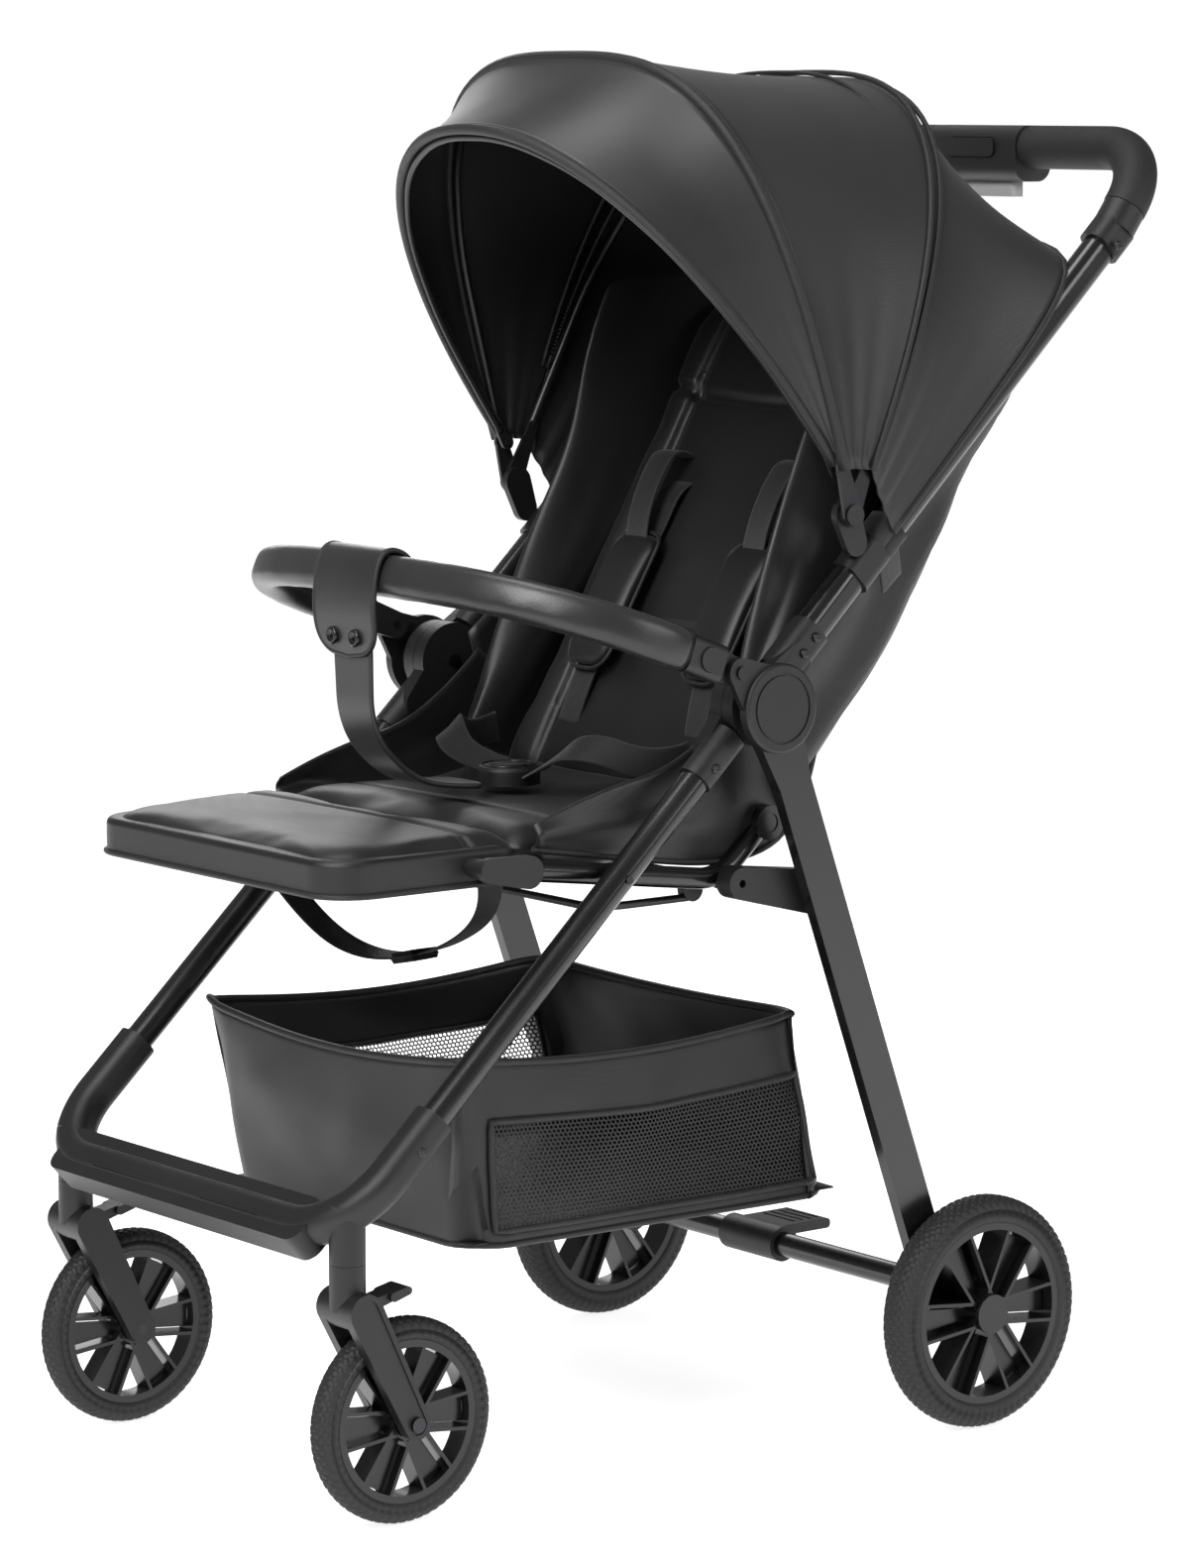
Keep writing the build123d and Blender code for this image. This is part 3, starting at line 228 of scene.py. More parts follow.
def mesh_piece(name, points, faces, material, smooth=True):
    """A new piece from points and faces, with its finish."""
    mesh = bpy.data.meshes.new(name)
    mesh.from_pydata([tuple(p) for p in points], [], faces)
    mesh.materials.append(material)
    mesh.polygons.foreach_set("use_smooth", [smooth] * len(mesh.polygons))
    mesh.update()
    piece = bpy.data.objects.new(name, mesh)
    scene.collection.objects.link(piece)
    return piece


def grid_faces(rows, columns, wrap_rows=False, wrap_columns=False):
    """The quads of a grid of points counted row by row."""
    faces = []
    for r in range(rows if wrap_rows else rows - 1):
        for c in range(columns if wrap_columns else columns - 1):
            r1 = (r + 1) % rows
            c1 = (c + 1) % columns
            faces.append((r * columns + c, r1 * columns + c, r1 * columns + c1, r * columns + c1))
    return faces


def tyre_section(half, outer, inner):
    """The tyre's section from bead to bead, as (offset across, radius) pairs."""
    steps = 30
    points = [(-half + 0.002, inner), (-half, inner + 0.003), (-half - 0.0002, (inner + outer) / 2)]
    for step in range(steps + 1):
        a = pi * step / steps
        crown = outer - 0.0105 + 0.0105 * sin(a) ** 0.72
        points.append((-half * abs(cos(a)) ** 0.82 * (1 if a < pi / 2 else -1), crown))
    points += [(half + 0.0002, (inner + outer) / 2), (half, inner + 0.003), (half - 0.002, inner)]
    return points


def diamond_groove(turn, shift):
    """How deep the crossed grooves are at a place, from 0 to 1."""
    deep = 0.0
    for way in (1, -1):
        wave = (turn + way * shift) % 1.0
        deep = max(deep, 1 - min(wave, 1 - wave) * 5.5)
    return max(0.0, min(1.0, deep * 1.6))


for end, diamonds, outer, inner in WHEELS:
    for hand in ("left", "right"):
        low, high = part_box(f"{end}_tyre_{hand}")
        middle = (low + high) / 2
        half = (high.x - low.x) / 2
        section = tyre_section(half - 0.0004, outer, inner)
        count = diamonds * 2 * 10
        points = []
        for step in range(count):
            angle = 2 * pi * step / count
            for across, radius in section:
                if radius > outer - 0.0072:
                    radius -= 0.0013 * diamond_groove(step / 10, across / 0.0062)
                elif radius > outer - 0.0135:
                    across *= 1 - 0.035 * (1 if (step % 10) < 5 else 0)
                points.append(middle + Vector((across, radius * cos(angle), radius * sin(angle))))
        faces = grid_faces(count, len(section), wrap_rows=True, wrap_columns=True)
        tyre = mesh_piece(f"{end}_tread_{hand}", points, faces, rubber)
        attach(tyre, f"{end}_wheel_{hand}")
        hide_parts(f"{end}_tyre_{hand}")

# ---------------------------------------------------------------- canopy cloth
# Coated polyester with a dull sheen, sewn to three bows: a visor, a main panel and
# a rear panel that runs down to the push tubes. Each panel is pulled taut, sags a
# little between its bows, and is lined.
BOW_ANGLES = {"rear": 65.9, "mid": 106.8, "front": 127.0}
BOW_HALF = 0.2116
BOW_HEIGHT = 0.3485
VISOR_RISE = 0.033


def cloth_finish(name, colour, rough, weave, depth, fuzz):
    """A coated cloth: a plain weave under the coating, and a soft sheen at grazing angles."""
    made = coat(name, colour, rough, grain=2200, depth=depth * 0.6, cloudy=0.05)
    tree = made.node_tree
    shader = tree.nodes["Principled BSDF"]
    shader.inputs["Sheen Weight"].default_value = fuzz
    shader.inputs["Sheen Roughness"].default_value = 0.5
    shader.inputs["Sheen Tint"].default_value = (0.75, 0.75, 0.78, 1)
    place = tree.nodes["Texture Coordinate"]
    bump = tree.nodes["Bump"]
    warp = tree.nodes.new("ShaderNodeTexWave")
    warp.bands_direction = "X"
    weft = tree.nodes.new("ShaderNodeTexWave")
    weft.bands_direction = "Z"
    for thread in (warp, weft):
        thread.inputs["Scale"].default_value = weave
        thread.inputs["Distortion"].default_value = 0.6
        tree.links.new(place.outputs["Object"], thread.inputs["Vector"])
    cross = tree.nodes.new("ShaderNodeMath")
    cross.operation = "MULTIPLY"
    tree.links.new(warp.outputs["Fac"], cross.inputs[0])
    tree.links.new(weft.outputs["Fac"], cross.inputs[1])
    second = tree.nodes.new("ShaderNodeBump")
    second.inputs["Strength"].default_value = depth
    second.inputs["Distance"].default_value = 0.0006
    tree.links.new(cross.outputs[0], second.inputs["Height"])
    tree.links.new(bump.outputs["Normal"], second.inputs["Normal"])
    tree.links.new(second.outputs["Normal"], shader.inputs["Normal"])
    return made


canopy_cloth = cloth_finish("coated_canopy_cloth", (0.021, 0.021, 0.0215), 0.43, 420, 0.10, 0.10)
binding_cloth = cloth_finish("black_binding_tape", (0.012, 0.012, 0.0125), 0.48, 900, 0.25, 0.10)
# A real piping cord, but its lighter grey is a painted highlight along the visor's rim.
highlight_piping_cloth = cloth_finish("satin_piping_painted_highlight", (0.050, 0.050, 0.051), 0.30, 900, 0.10, 0.2)


def lean(base, angle, reach, across=0.0):
    """The point that a leaning line reaches in side view, set out sideways by across."""
    a = radians(angle)
    return Vector((across, base.y + reach * cos(a), base.z + reach * sin(a)))


def bow_point(base, angle, half, height, squareness, start, t):
    """A point of a squarish arch that leans at an angle, with t from 0 to 1 over the top."""
    a = pi * t
    out = abs(cos(a)) ** (2 / squareness) * (1 if t < 0.5 else -1)
    up = max(sin(a), 0.0) ** (2 / squareness)
    return lean(base, angle, start + (height - start) * up, half * out)


def edge_line(base, angle, half, height, squareness, start, steps):
    """Evenly spaced points along one arch."""
    raw = [bow_point(base, angle, half, height, squareness, start, s / 400) for s in range(401)]
    run = [0.0]
    for one, two in zip(raw, raw[1:]):
        run.append(run[-1] + (two - one).length)
    line = []
    at = 0
    for step in range(steps + 1):
        goal = run[-1] * step / steps
        while at < 399 and run[at + 1] < goal:
            at += 1
        share = (goal - run[at]) / max(run[at + 1] - run[at], 1e-9)
        line.append(raw[at].lerp(raw[at + 1], min(share, 1.0)))
    return line


def smooth_line(controls, steps):
    """A smooth line near its control points, from the first to the last."""
    line = []
    for i in range(1, len(controls) - 1):
        a = controls[0] if i == 1 else (controls[i - 1] + controls[i]) / 2
        c = controls[-1] if i == len(controls) - 2 else (controls[i] + controls[i + 1]) / 2
        for step in range(steps):
            t = step / steps
            line.append(a * (1 - t) ** 2 + controls[i] * 2 * t * (1 - t) + c * t * t)
    line.append(controls[-1])
    return line


def even_line(controls, steps):
    """The same smooth line in steps of even length."""
    raw = smooth_line(controls, 24)
    run = [0.0]
    for one, two in zip(raw, raw[1:]):
        run.append(run[-1] + (two - one).length)
    line = []
    at = 0
    for step in range(steps + 1):
        goal = run[-1] * step / steps
        while at < len(raw) - 2 and run[at + 1] < goal:
            at += 1
        line.append(raw[at].lerp(raw[at + 1], min((goal - run[at]) / max(run[at + 1] - run[at], 1e-9), 1.0)))
    return line


def rod(name, path, radius, material, sides=8, closed=False):
    """A round cord, piping or rod along a line of points."""
    points = []
    count = len(path)
    side = None
    for i, here in enumerate(path):
        ahead = path[(i + 1) % count] if closed else path[min(i + 1, count - 1)]
        behind = path[i - 1] if closed else path[max(i - 1, 0)]
        along = (ahead - behind).normalized()
        if side is None:
            side = along.orthogonal().normalized()
        side = (side - along * side.dot(along)).normalized()
        up = along.cross(side)
        for k in range(sides):
            a = 2 * pi * k / sides
            points.append(here + side * radius * cos(a) + up * radius * sin(a))
    faces = grid_faces(count, sides, wrap_rows=closed, wrap_columns=True)
    if not closed:
        faces += [tuple(range(sides)), tuple((count - 1) * sides + k for k in reversed(range(sides)))]
    return mesh_piece(name, points, faces, material)


def thicken(piece, depth, offset=0.0, smooth_levels=0):
    """Give a sheet its thickness, and round it off."""
    solid = piece.modifiers.new("thickness", "SOLIDIFY")
    solid.thickness = depth
    solid.offset = offset
    if smooth_levels:
        soft = piece.modifiers.new("smooth", "SUBSURF")
        soft.levels = soft.render_levels = smooth_levels


def settle(piece):
    """Apply a piece's modifiers, in order."""
    deps = bpy.context.evaluated_depsgraph_get()
    made = bpy.data.meshes.new_from_object(piece.evaluated_get(deps))
    piece.modifiers.clear()
    piece.data = made
    made.polygons.foreach_set("use_smooth", [True] * len(made.polygons))


def join(name, pieces):
    """One piece from several that lie together on the same body."""
    first = pieces[0]
    for other in pieces:
        settle(other)
    with bpy.context.temp_override(
        active_object=first, object=first, selected_objects=pieces, selected_editable_objects=pieces
    ):
        bpy.ops.object.join()
    first.name = name
    return first


canopy_pivot = pivot["canopy_close"]
visor_pivot = pivot["visor_fold"]
PANEL_STEPS = 72
rear_line = edge_line(canopy_pivot, BOW_ANGLES["rear"], BOW_HALF + 0.001, BOW_HEIGHT, 2.7, 0.036, PANEL_STEPS)
mid_line = edge_line(canopy_pivot, BOW_ANGLES["mid"], BOW_HALF + 0.001, BOW_HEIGHT, 3.1, 0.036, PANEL_STEPS)
visor_back = edge_line(
    visor_pivot, BOW_ANGLES["mid"] + 1.2, BOW_HALF + 0.001, BOW_HEIGHT - VISOR_RISE, 3.1, 0.006, PANEL_STEPS)
visor_front = edge_line(visor_pivot, BOW_ANGLES["front"], 0.2045, 0.3115, 2.2, 0.008, PANEL_STEPS)
push_slope = 43.7
tail_side = [
    lean(pivot["push_fold"], push_slope, 0.170, 0.2055) + Vector((0, -0.001, 0.003)),
    lean(pivot["push_fold"], push_slope, 0.290, 0.2050) + Vector((0, -0.002, 0.003)),
    lean(pivot["push_fold"], push_slope, 0.400, 0.2035) + Vector((0, -0.004, 0.005)),
    lean(pivot["push_fold"], push_slope, 0.450, 0.1880) + Vector((0, -0.010, 0.012)),
    lean(pivot["push_fold"], push_slope, 0.456, 0.1200) + Vector((0, -0.032, 0.020)),
    lean(pivot["push_fold"], push_slope, 0.466, 0.0400) + Vector((0, -0.040, 0.046)),
]
tail_line = even_line(tail_side + [Vector((-p.x, p.y, p.z)) for p in reversed(tail_side)], PANEL_STEPS)


def cloth_between(name, near, far, rows, sag, folds, seed):
    """A taut panel between two edges: it sags inwards and gathers near its corners."""
    centre = Vector((0, canopy_pivot.y, canopy_pivot.z + 0.06))
    points = []
    for r in range(rows + 1):
        v = r / rows
        for c in range(len(near)):
            u = c / (len(near) - 1)
            place = near[c].lerp(far[c], v)
            inwards = (centre - place).normalized()
            belly = sag * sin(pi * v) * (0.35 + 0.65 * sin(pi * u))
            corner = max(0.0, 1 - min(u, 1 - u) * 5.0)
            ripple = folds * corner * sin(pi * v) * sin(7.5 * pi * v + 2.0 * u)
            drift = noise.noise(Vector((u * 7, v * 3, seed))) * folds * 0.7 * sin(pi * v)
            points.append(place + inwards * (belly + ripple + drift))
    return mesh_piece(name, points, grid_faces(rows + 1, len(near)), canopy_cloth)


panel = cloth_between("canopy_main_cloth", rear_line, mid_line, 22, 0.0045, 0.0007, 1.3)
thicken(panel, 0.0014)
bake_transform(panel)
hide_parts("canopy_mid_panel")

visor = cloth_between("canopy_visor_cloth", visor_back, visor_front, 16, 0.0035, 0.0006, 4.1)
thicken(visor, 0.0014)
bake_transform(visor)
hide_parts("canopy_front_panel")

tail = cloth_between("canopy_rear_cloth", tail_line, rear_line, 18, 0.006, 0.0010, 7.7)
thicken(tail, 0.0014)
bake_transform(tail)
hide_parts("canopy_rear_panel")

# ---------------------------------------------------------------- canopy piping
# A bound edge is sewn round the visor, a cord is sewn in over the middle bow, and
# two rows of piping run down each side of the rear bow. A thin piping cord runs along
# the top of the visor's binding, and its lighter grey is a painted highlight along the rim.
canopy_heart = Vector((0, canopy_pivot.y, canopy_pivot.z + 0.05))


def rim(name, line, radius, body, material, outwards=0.0):
    """A sewn cord that follows an edge of the canopy."""
    path = [place + (place - canopy_heart).normalized() * outwards for place in line]
    cord = rod(name, path, radius, material, sides=8)
    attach(cord, body)
    return cord


def beside(line, angle):
    """The same arch, turned a little about the canopy's pivot."""
    a = radians(angle)
    turned = []
    for place in line:
        y = place.y - canopy_pivot.y
        z = place.z - canopy_pivot.z
        turned.append(Vector((
            place.x, canopy_pivot.y + y * cos(a) - z * sin(a), canopy_pivot.z + y * sin(a) + z * cos(a))))
    return turned


rim("visor_rim", visor_front, 0.0042, "canopy_front", binding_cloth)
# A thin cord along the top of the visor's binding: real piping, with its lighter grey a painted highlight along the
# rim.
rim_highlight_line = [place + Vector((0, 0.0052, 0.0035)) for place in visor_front]
rim("visor_rim_highlight_piping", rim_highlight_line, 0.0013, "canopy_front", highlight_piping_cloth)
rim("mid_bow_binding", beside(mid_line, 0.5), 0.0046, "canopy_mid", binding_cloth, 0.0005)
rim("rear_piping_front", beside(rear_line, 1.1), 0.0022, "canopy_rear", binding_cloth, 0.0016)
rim("rear_piping_back", beside(rear_line, -1.1), 0.0022, "canopy_rear", binding_cloth, 0.0016)
rim("tail_hem", tail_line, 0.0026, "push_frame", binding_cloth)

# ---------------------------------------------------------------- seat cushion
# A foam pad in coated cloth, laid on the seat rails. It is blown up by its own
# foam: the pads are worked out as cloth under pressure, then sewn.
seat_cloth = cloth_finish("coated_seat_cloth", (0.009, 0.009, 0.0095), 0.42, 520, 0.12, 0.12)


def slab(name, outline, bottom, top, material, crown=0.0):
    """A pad cut to an outline, with rounded edges and a crowned top."""
    rings = ((0.90, bottom), (0.985, bottom + 0.004), (1.0, (bottom + top) / 2), (0.985, top - 0.005), (0.90, top))
    middle = sum(outline, Vector((0, 0, 0))) / len(outline)
    points = []
    for share, height in rings:
        for place in outline:
            spot = middle.lerp(place, share)
            points.append(Vector((spot.x, spot.y, spot.z + height)))
    count = len(outline)
    faces = grid_faces(len(rings), count, wrap_columns=True)
    points.append(middle + Vector((0, 0, bottom)))
    points.append(middle + Vector((0, 0, top + crown)))
    last = (len(rings) - 1) * count
    for k in range(count):
        faces.append((len(points) - 2, k, (k + 1) % count))
        faces.append((len(points) - 1, last + (k + 1) % count, last + k))
    piece = mesh_piece(name, points, faces, material)
    tidy = bmesh.new()
    tidy.from_mesh(piece.data)
    bmesh.ops.recalc_face_normals(tidy, faces=tidy.faces)
    tidy.to_mesh(piece.data)
    tidy.free()
    return piece


def puff(piece, pressure, cap, voxel=0.0055):
    """Swell a pad as its foam does, as cloth under pressure, and no further than the cap."""
    grid = piece.modifiers.new("even_cloth", "REMESH")
    grid.mode = "VOXEL"
    grid.voxel_size = voxel
    settle(piece)
    start = [v.co.copy() for v in piece.data.vertices]
    cloth = piece.modifiers.new("cloth", "CLOTH")
    cloth.settings.use_pressure = True
    cloth.settings.uniform_pressure_force = pressure
    cloth.settings.effector_weights.gravity = 0
    cloth.settings.quality = 4
    cloth.settings.tension_stiffness = 12
    cloth.settings.bending_stiffness = 0.6
    for moment in range(1, 21):
        scene.frame_set(moment)
    settle(piece)
    scene.frame_set(1)
    for vertex, was in zip(piece.data.vertices, start):
        move = vertex.co - was
        if move.length > cap:
            vertex.co = was + move.normalized() * cap
    calm = piece.modifiers.new("calm", "SMOOTH")
    calm.factor = 0.5
    calm.iterations = 4
    soft = piece.modifiers.new("soft", "SUBSURF")
    soft.levels = soft.render_levels = 1
    settle(piece)


def rounded_outline(half, near, far, near_round, far_round, steps=9):
    """A plan outline with rounded corners, counted round from the near right one."""
    outline = []
    corners = (
        (half - near_round, near + near_round, near_round, -90),
        (half - far_round, far - far_round, far_round, 0),
        (-half + far_round, far - far_round, far_round, 90),
        (-half + near_round, near + near_round, near_round, 180),
    )
    for x, y, radius, first in corners:
        for k in range(steps):
            a = radians(first + 90 * k / (steps - 1))
            outline.append(Vector((x + radius * cos(a), y + radius * sin(a), 0)))
    return outline


def dent(piece, depth, width, distance):
    """Press a sewn channel into a pad, wherever distance() says that it is near."""
    for vertex in piece.data.vertices:
        away = distance(vertex.co)
        if abs(away) < width * 3:
            normal = vertex.normal.copy()
            vertex.co -= normal * depth * 2.718 ** (-((away / width) ** 2))


seat_low, seat_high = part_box("seat_pad")
seat_plan = rounded_outline(
    seat_high.x + 0.001, seat_low.y - 0.010, pivot["back_fold"].y + 0.014, 0.018, 0.020)
for place in seat_plan:
    place.z = (place.y - seat_low.y) * -0.03
seat = slab("seat_cushion", seat_plan, seat_low.z + 0.008, seat_high.z - 0.013, seat_cloth, crown=0.003)
puff(seat, 4.0, 0.007)
for vertex in seat.data.vertices:
    share = max(0.0, min(1.0, (vertex.co.y - seat_low.y - 0.09) / 0.09))
    vertex.co.z += 0.012 * share * share * (1 if vertex.co.z > seat_low.z + 0.02 else 0)
dent(seat, 0.0035, 0.003, lambda p: p.y - (seat_low.y + 0.048) if p.z > seat_low.z + 0.018 else 1.0)
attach(seat, "seat")
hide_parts("seat_pad")

# ---------------------------------------------------------------- calf rest
# A moulded board with two side brackets, under a foam pad in the same cloth. The
# cover is sewn along its lower edge, with a top seam just inside its border.
paint(nylon, "calf_rest")
calf_low, calf_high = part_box("calf_rest")
calf_hinge = pivot["calf_tilt"]
calf_half = 0.1615
calf_plan = rounded_outline(calf_half, calf_low.y - 0.0015, calf_hinge.y + 0.0115, 0.036, 0.010)
calf = slab("calf_cushion", calf_plan, calf_low.z + 0.0025, calf_high.z + 0.001, seat_cloth, crown=0.003)
puff(calf, 4.0, 0.006)
for vertex in calf.data.vertices:
    reach = (vertex.co.y - calf_low.y) / (calf_hinge.y - calf_low.y)
    if vertex.co.z > calf_hinge.z:
        vertex.co.z += 0.006 * max(0.0, reach - 0.35) - 0.003 * max(0.0, 0.2 - reach)
dent(calf, 0.003, 0.0028, lambda p: p.y - (calf_hinge.y - 0.030) if p.z > calf_hinge.z + 0.004 else 1.0)
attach(calf, "calf_rest")

seam_path = [Vector((p.x * 0.992, p.y + 0.0008, calf_low.z + 0.0035)) for p in calf_plan]
calf_seam = rod("calf_edge_seam", seam_path, 0.0021, binding_cloth, closed=True)
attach(calf_seam, "calf_rest")

# ---------------------------------------------------------------- back cushion
# The padded back: foam between two sheets of cloth on the back's board, quilted by
# two sewn channels across it and one down each side.
back_hinge_place = pivot["back_fold"]
BACK_ANGLE = 59.7


def on_back(x, up, out):
    """A point on the back: out from its middle plane, up from its hinge."""
    a = radians(BACK_ANGLE)
    y = back_hinge_place.y + up * cos(a) - out * sin(a)
    z = back_hinge_place.z + up * sin(a) + out * cos(a)
    return Vector((x, y, z))


def lay_on_back(piece):
    """Stand a pad that was cut flat, with y as its height, up against the back."""
    for vertex in piece.data.vertices:
        vertex.co = on_back(vertex.co.x, vertex.co.y, vertex.co.z)


back_plan = rounded_outline(0.153, -0.016, 0.436, 0.014, 0.030)
back = slab("back_cushion", back_plan, -0.013, 0.010, seat_cloth, crown=0.004)
puff(back, 4.0, 0.009)
for vertex in back.data.vertices:
    if vertex.co.z > 0:
        side_roll = max(0.0, abs(vertex.co.x) / 0.153 - 0.62) / 0.38
        vertex.co.z += 0.010 * side_roll * (1 - side_roll) * 2.2
        vertex.co.z += 0.0016 * noise.noise(Vector((vertex.co.x * 22, vertex.co.y * 14, 3.3)))
for height in (0.135, 0.330):
    dent(back, 0.0050, 0.0038, lambda p, h=height: p.y - h - 0.012 * (p.x / 0.15) ** 2 if p.z > 0.004 else 1.0)
for border in (-0.098, 0.098):
    dent(back, 0.0045, 0.0034, lambda p, b=border: p.x - b if p.z > 0.004 else 1.0)
lay_on_back(back)
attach(back, "back")
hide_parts("back_pad")

# ---------------------------------------------------------------- seat sides
# One sheet of coated cloth on each side, from the seat rail up to the folding hub,
# sewn to the pad along its lower edge and turned over a cord.


hub = pivot["push_fold"]
for hand, sign in (("left", 1), ("right", -1)):
    upper = even_line([
        Vector((sign * 0.160, calf_hinge.y + 0.020, calf_hinge.z + 0.030)),
        Vector((sign * 0.163, calf_hinge.y + 0.070, calf_hinge.z + 0.050)),
        Vector((sign * 0.166, hub.y - 0.040, hub.z - 0.042)),
        Vector((sign * 0.167, hub.y + 0.016, hub.z + 0.010)),
    ], 36)
    lower = even_line([
        Vector((sign * 0.160, calf_hinge.y + 0.020, calf_hinge.z + 0.012)),
        Vector((sign * 0.163, calf_hinge.y + 0.090, calf_hinge.z + 0.000)),
        Vector((sign * 0.166, calf_hinge.y + 0.205, calf_hinge.z - 0.016)),
        Vector((sign * 0.163, back_hinge_place.y + 0.040, back_hinge_place.z - 0.006)),
        Vector((sign * 0.161, back_hinge_place.y + 0.055, back_hinge_place.z + 0.048)),
    ], 36)
    points = []
    for r in range(19):
        v = r / 18
        for c in range(37):
            u = c / 36
            place = upper[c].lerp(lower[c], v)
            ripple = 0.0026 * sin(9 * u + 4 * v) * sin(pi * v)
            ripple += 0.003 * noise.noise(Vector((u * 5, v * 3, sign)))
            bulge = 0.004 * sin(pi * v)
            points.append(place + Vector((sign * (bulge + ripple * sin(pi * v)), 0, 0)))
    side_cloth = mesh_piece(f"seat_side_{hand}", points, grid_faces(19, 37), seat_cloth)
    thicken(side_cloth, 0.0016)
    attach(side_cloth, "seat")
    welt = rod(f"seat_side_welt_{hand}", lower, 0.0026, binding_cloth)
    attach(welt, "seat")

# ---------------------------------------------------------------- back shell
# The outer cover of the back: one sheet that starts on one push tube, runs round
# behind the padded back, and ends on the other. It hangs in long folds.
shell_front = [hub + Vector((0, 0.012, 0.022)), lean(hub, push_slope, 0.20, 0) + Vector((0, 0.004, -0.004)),
               lean(hub, push_slope, 0.430, 0) + Vector((0, 0.006, -0.004))]
shell_back = [(0.036, 0.462), (0.078, 0.534), (0.143, 0.634), (0.212, 0.704), (0.272, 0.777), (0.298, 0.852)]
shell_rear = [Vector((0, y, z)) for y, z in shell_back]
front_run = even_line(shell_front, 40)
back_run = even_line(shell_rear, 40)
rows = []
for step in range(41):
    s = step / 40
    front_edge = front_run[step].copy()
    over_tube = max(0.0, min(1.0, (s - 0.30) / 0.12))
    front_edge += Vector((0, -0.0125 * over_tube, 0.0130 * over_tube))
    low_bulge = 0.026 * sin(pi * min(1.0, s / 0.75)) ** 2
    rear_edge = back_run[step]
    crest = rear_edge + Vector((0, 0.012 + 0.002 * s, 0.012 + 0.052 * s ** 3))
    wide = 0.172 - 0.004 * sin(pi * s)
    controls = []
    for x, spot in (
        (wide + 0.004 + 0.020 * over_tube, front_edge), (wide - 0.001, front_edge.lerp(rear_edge, 0.5)),
        (wide - 0.006, rear_edge + Vector((0, low_bulge, -0.6 * low_bulge))),
        (wide - 0.052, rear_edge.lerp(crest, 0.65)), (0.05, crest), (0, crest)
    ):
        controls.append(Vector((x, spot.y, spot.z)))
    controls += [Vector((-c.x, c.y, c.z)) for c in reversed(controls[:-1])]
    rows.append(even_line(controls, 64))
points = []
for r, row in enumerate(rows):
    s = r / 40
    for c, place in enumerate(row):
        u = c / 64
        edge = abs(u - 0.5) * 2
        fold = 0.0034 * edge * sin(21 * edge + 2.6 * s + 3.0 * noise.noise(Vector((place.x * 8, s * 3, 2.2))))
        calm = sin(pi * min(1.0, (1 - edge) * 3.2) / 2) * (1 - 0.75 * max(0.0, 1 - edge * 1.9))
        out = Vector((place.x, (place.y - 0.02) * 0.5, 0)).normalized()
        points.append(place + out * (fold * calm + 0.003 * noise.noise(Vector((place.x * 7, s * 3, 8.8)))))
shell = mesh_piece("back_shell", points, grid_faces(41, 65), seat_cloth)
thicken(shell, 0.0016)
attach(shell, "back")
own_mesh(shell)

# ---------------------------------------------------------------- basket
# A sewn tub hung from the front tubes and the rear legs: coated cloth walls and
# floor, a bound net window in each side, and a hem round the mouth. It sags under
# its own weight.
basket_cloth = cloth_finish("basket_cloth", (0.010, 0.010, 0.0105), 0.46, 520, 0.14, 0.12)
net_cloth = coat("black_net_cord", (0.014, 0.014, 0.0145), 0.55, grain=2600, depth=0.2)
basket_low, basket_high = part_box("basket")
BASKET_RIM = 0.3215
BASKET_WALL_STEPS = 26


def tub_corners(rise):
    """The four corners of the tub at a height share, from 0 at the floor to 1 at the rim."""
    front_y = basket_low.y + 0.004 + 0.016 * (1 - rise)
    rear_y = basket_high.y - 0.036 * rise
    front_x = 0.158 + 0.008 * rise
    rear_x = 0.166 - 0.006 * rise
    return [Vector((front_x, front_y, 0)), Vector((rear_x, rear_y, 0)),
            Vector((-rear_x, rear_y, 0)), Vector((-front_x, front_y, 0))]


def tub_point(u, v):
    """A point of the tub's wall: u runs once round from the front left corner, v from the rim down."""
    rise = 1 - v
    corners = tub_corners(rise)
    k = int(u * 4) % 4
    t = u * 4 - int(u * 4)
    a, b = corners[k], corners[(k + 1) % 4]
    near_corner = min(t, 1 - t)
    round_in = 0.030 * max(0.0, 1 - near_corner / 0.10) ** 2 * (0.25 + 0.75 * v)
    spot = a.lerp(b, t)
    out = Vector(((b - a).y, -(b - a).x, 0)).normalized()
    if out.dot(spot - Vector((0, (basket_low.y + basket_high.y) / 2, 0))) < 0:
        out = -out
    sag = sin(pi * t)
    belly = 0.006 * sag * sin(pi * min(v * 1.25, 1.0))
    folds = 0.0035 * sin(pi * v) * sin(13 * t + 5 * v + k) * (0.4 + noise.noise(Vector((t * 4, v * 3, k + 0.5))))
    floor_z = basket_low.z + 0.0025 + 0.012 * (1 - v)
    drop = v ** 0.9
    rim_drop = (0.011 if k == 0 or k == 2 else 0.012 if k == 3 else 0.004) * sag
    z = (BASKET_RIM - rim_drop) * (1 - drop) + floor_z * drop
    tuck = 0.020 * max(0.0, v - 0.82) / 0.18
    spot = spot + out * (belly + folds - round_in - tuck * tuck)
    spot.y = min(max(spot.y, basket_low.y - 0.004), basket_high.y + 0.004)
    return Vector((spot.x, spot.y, z))


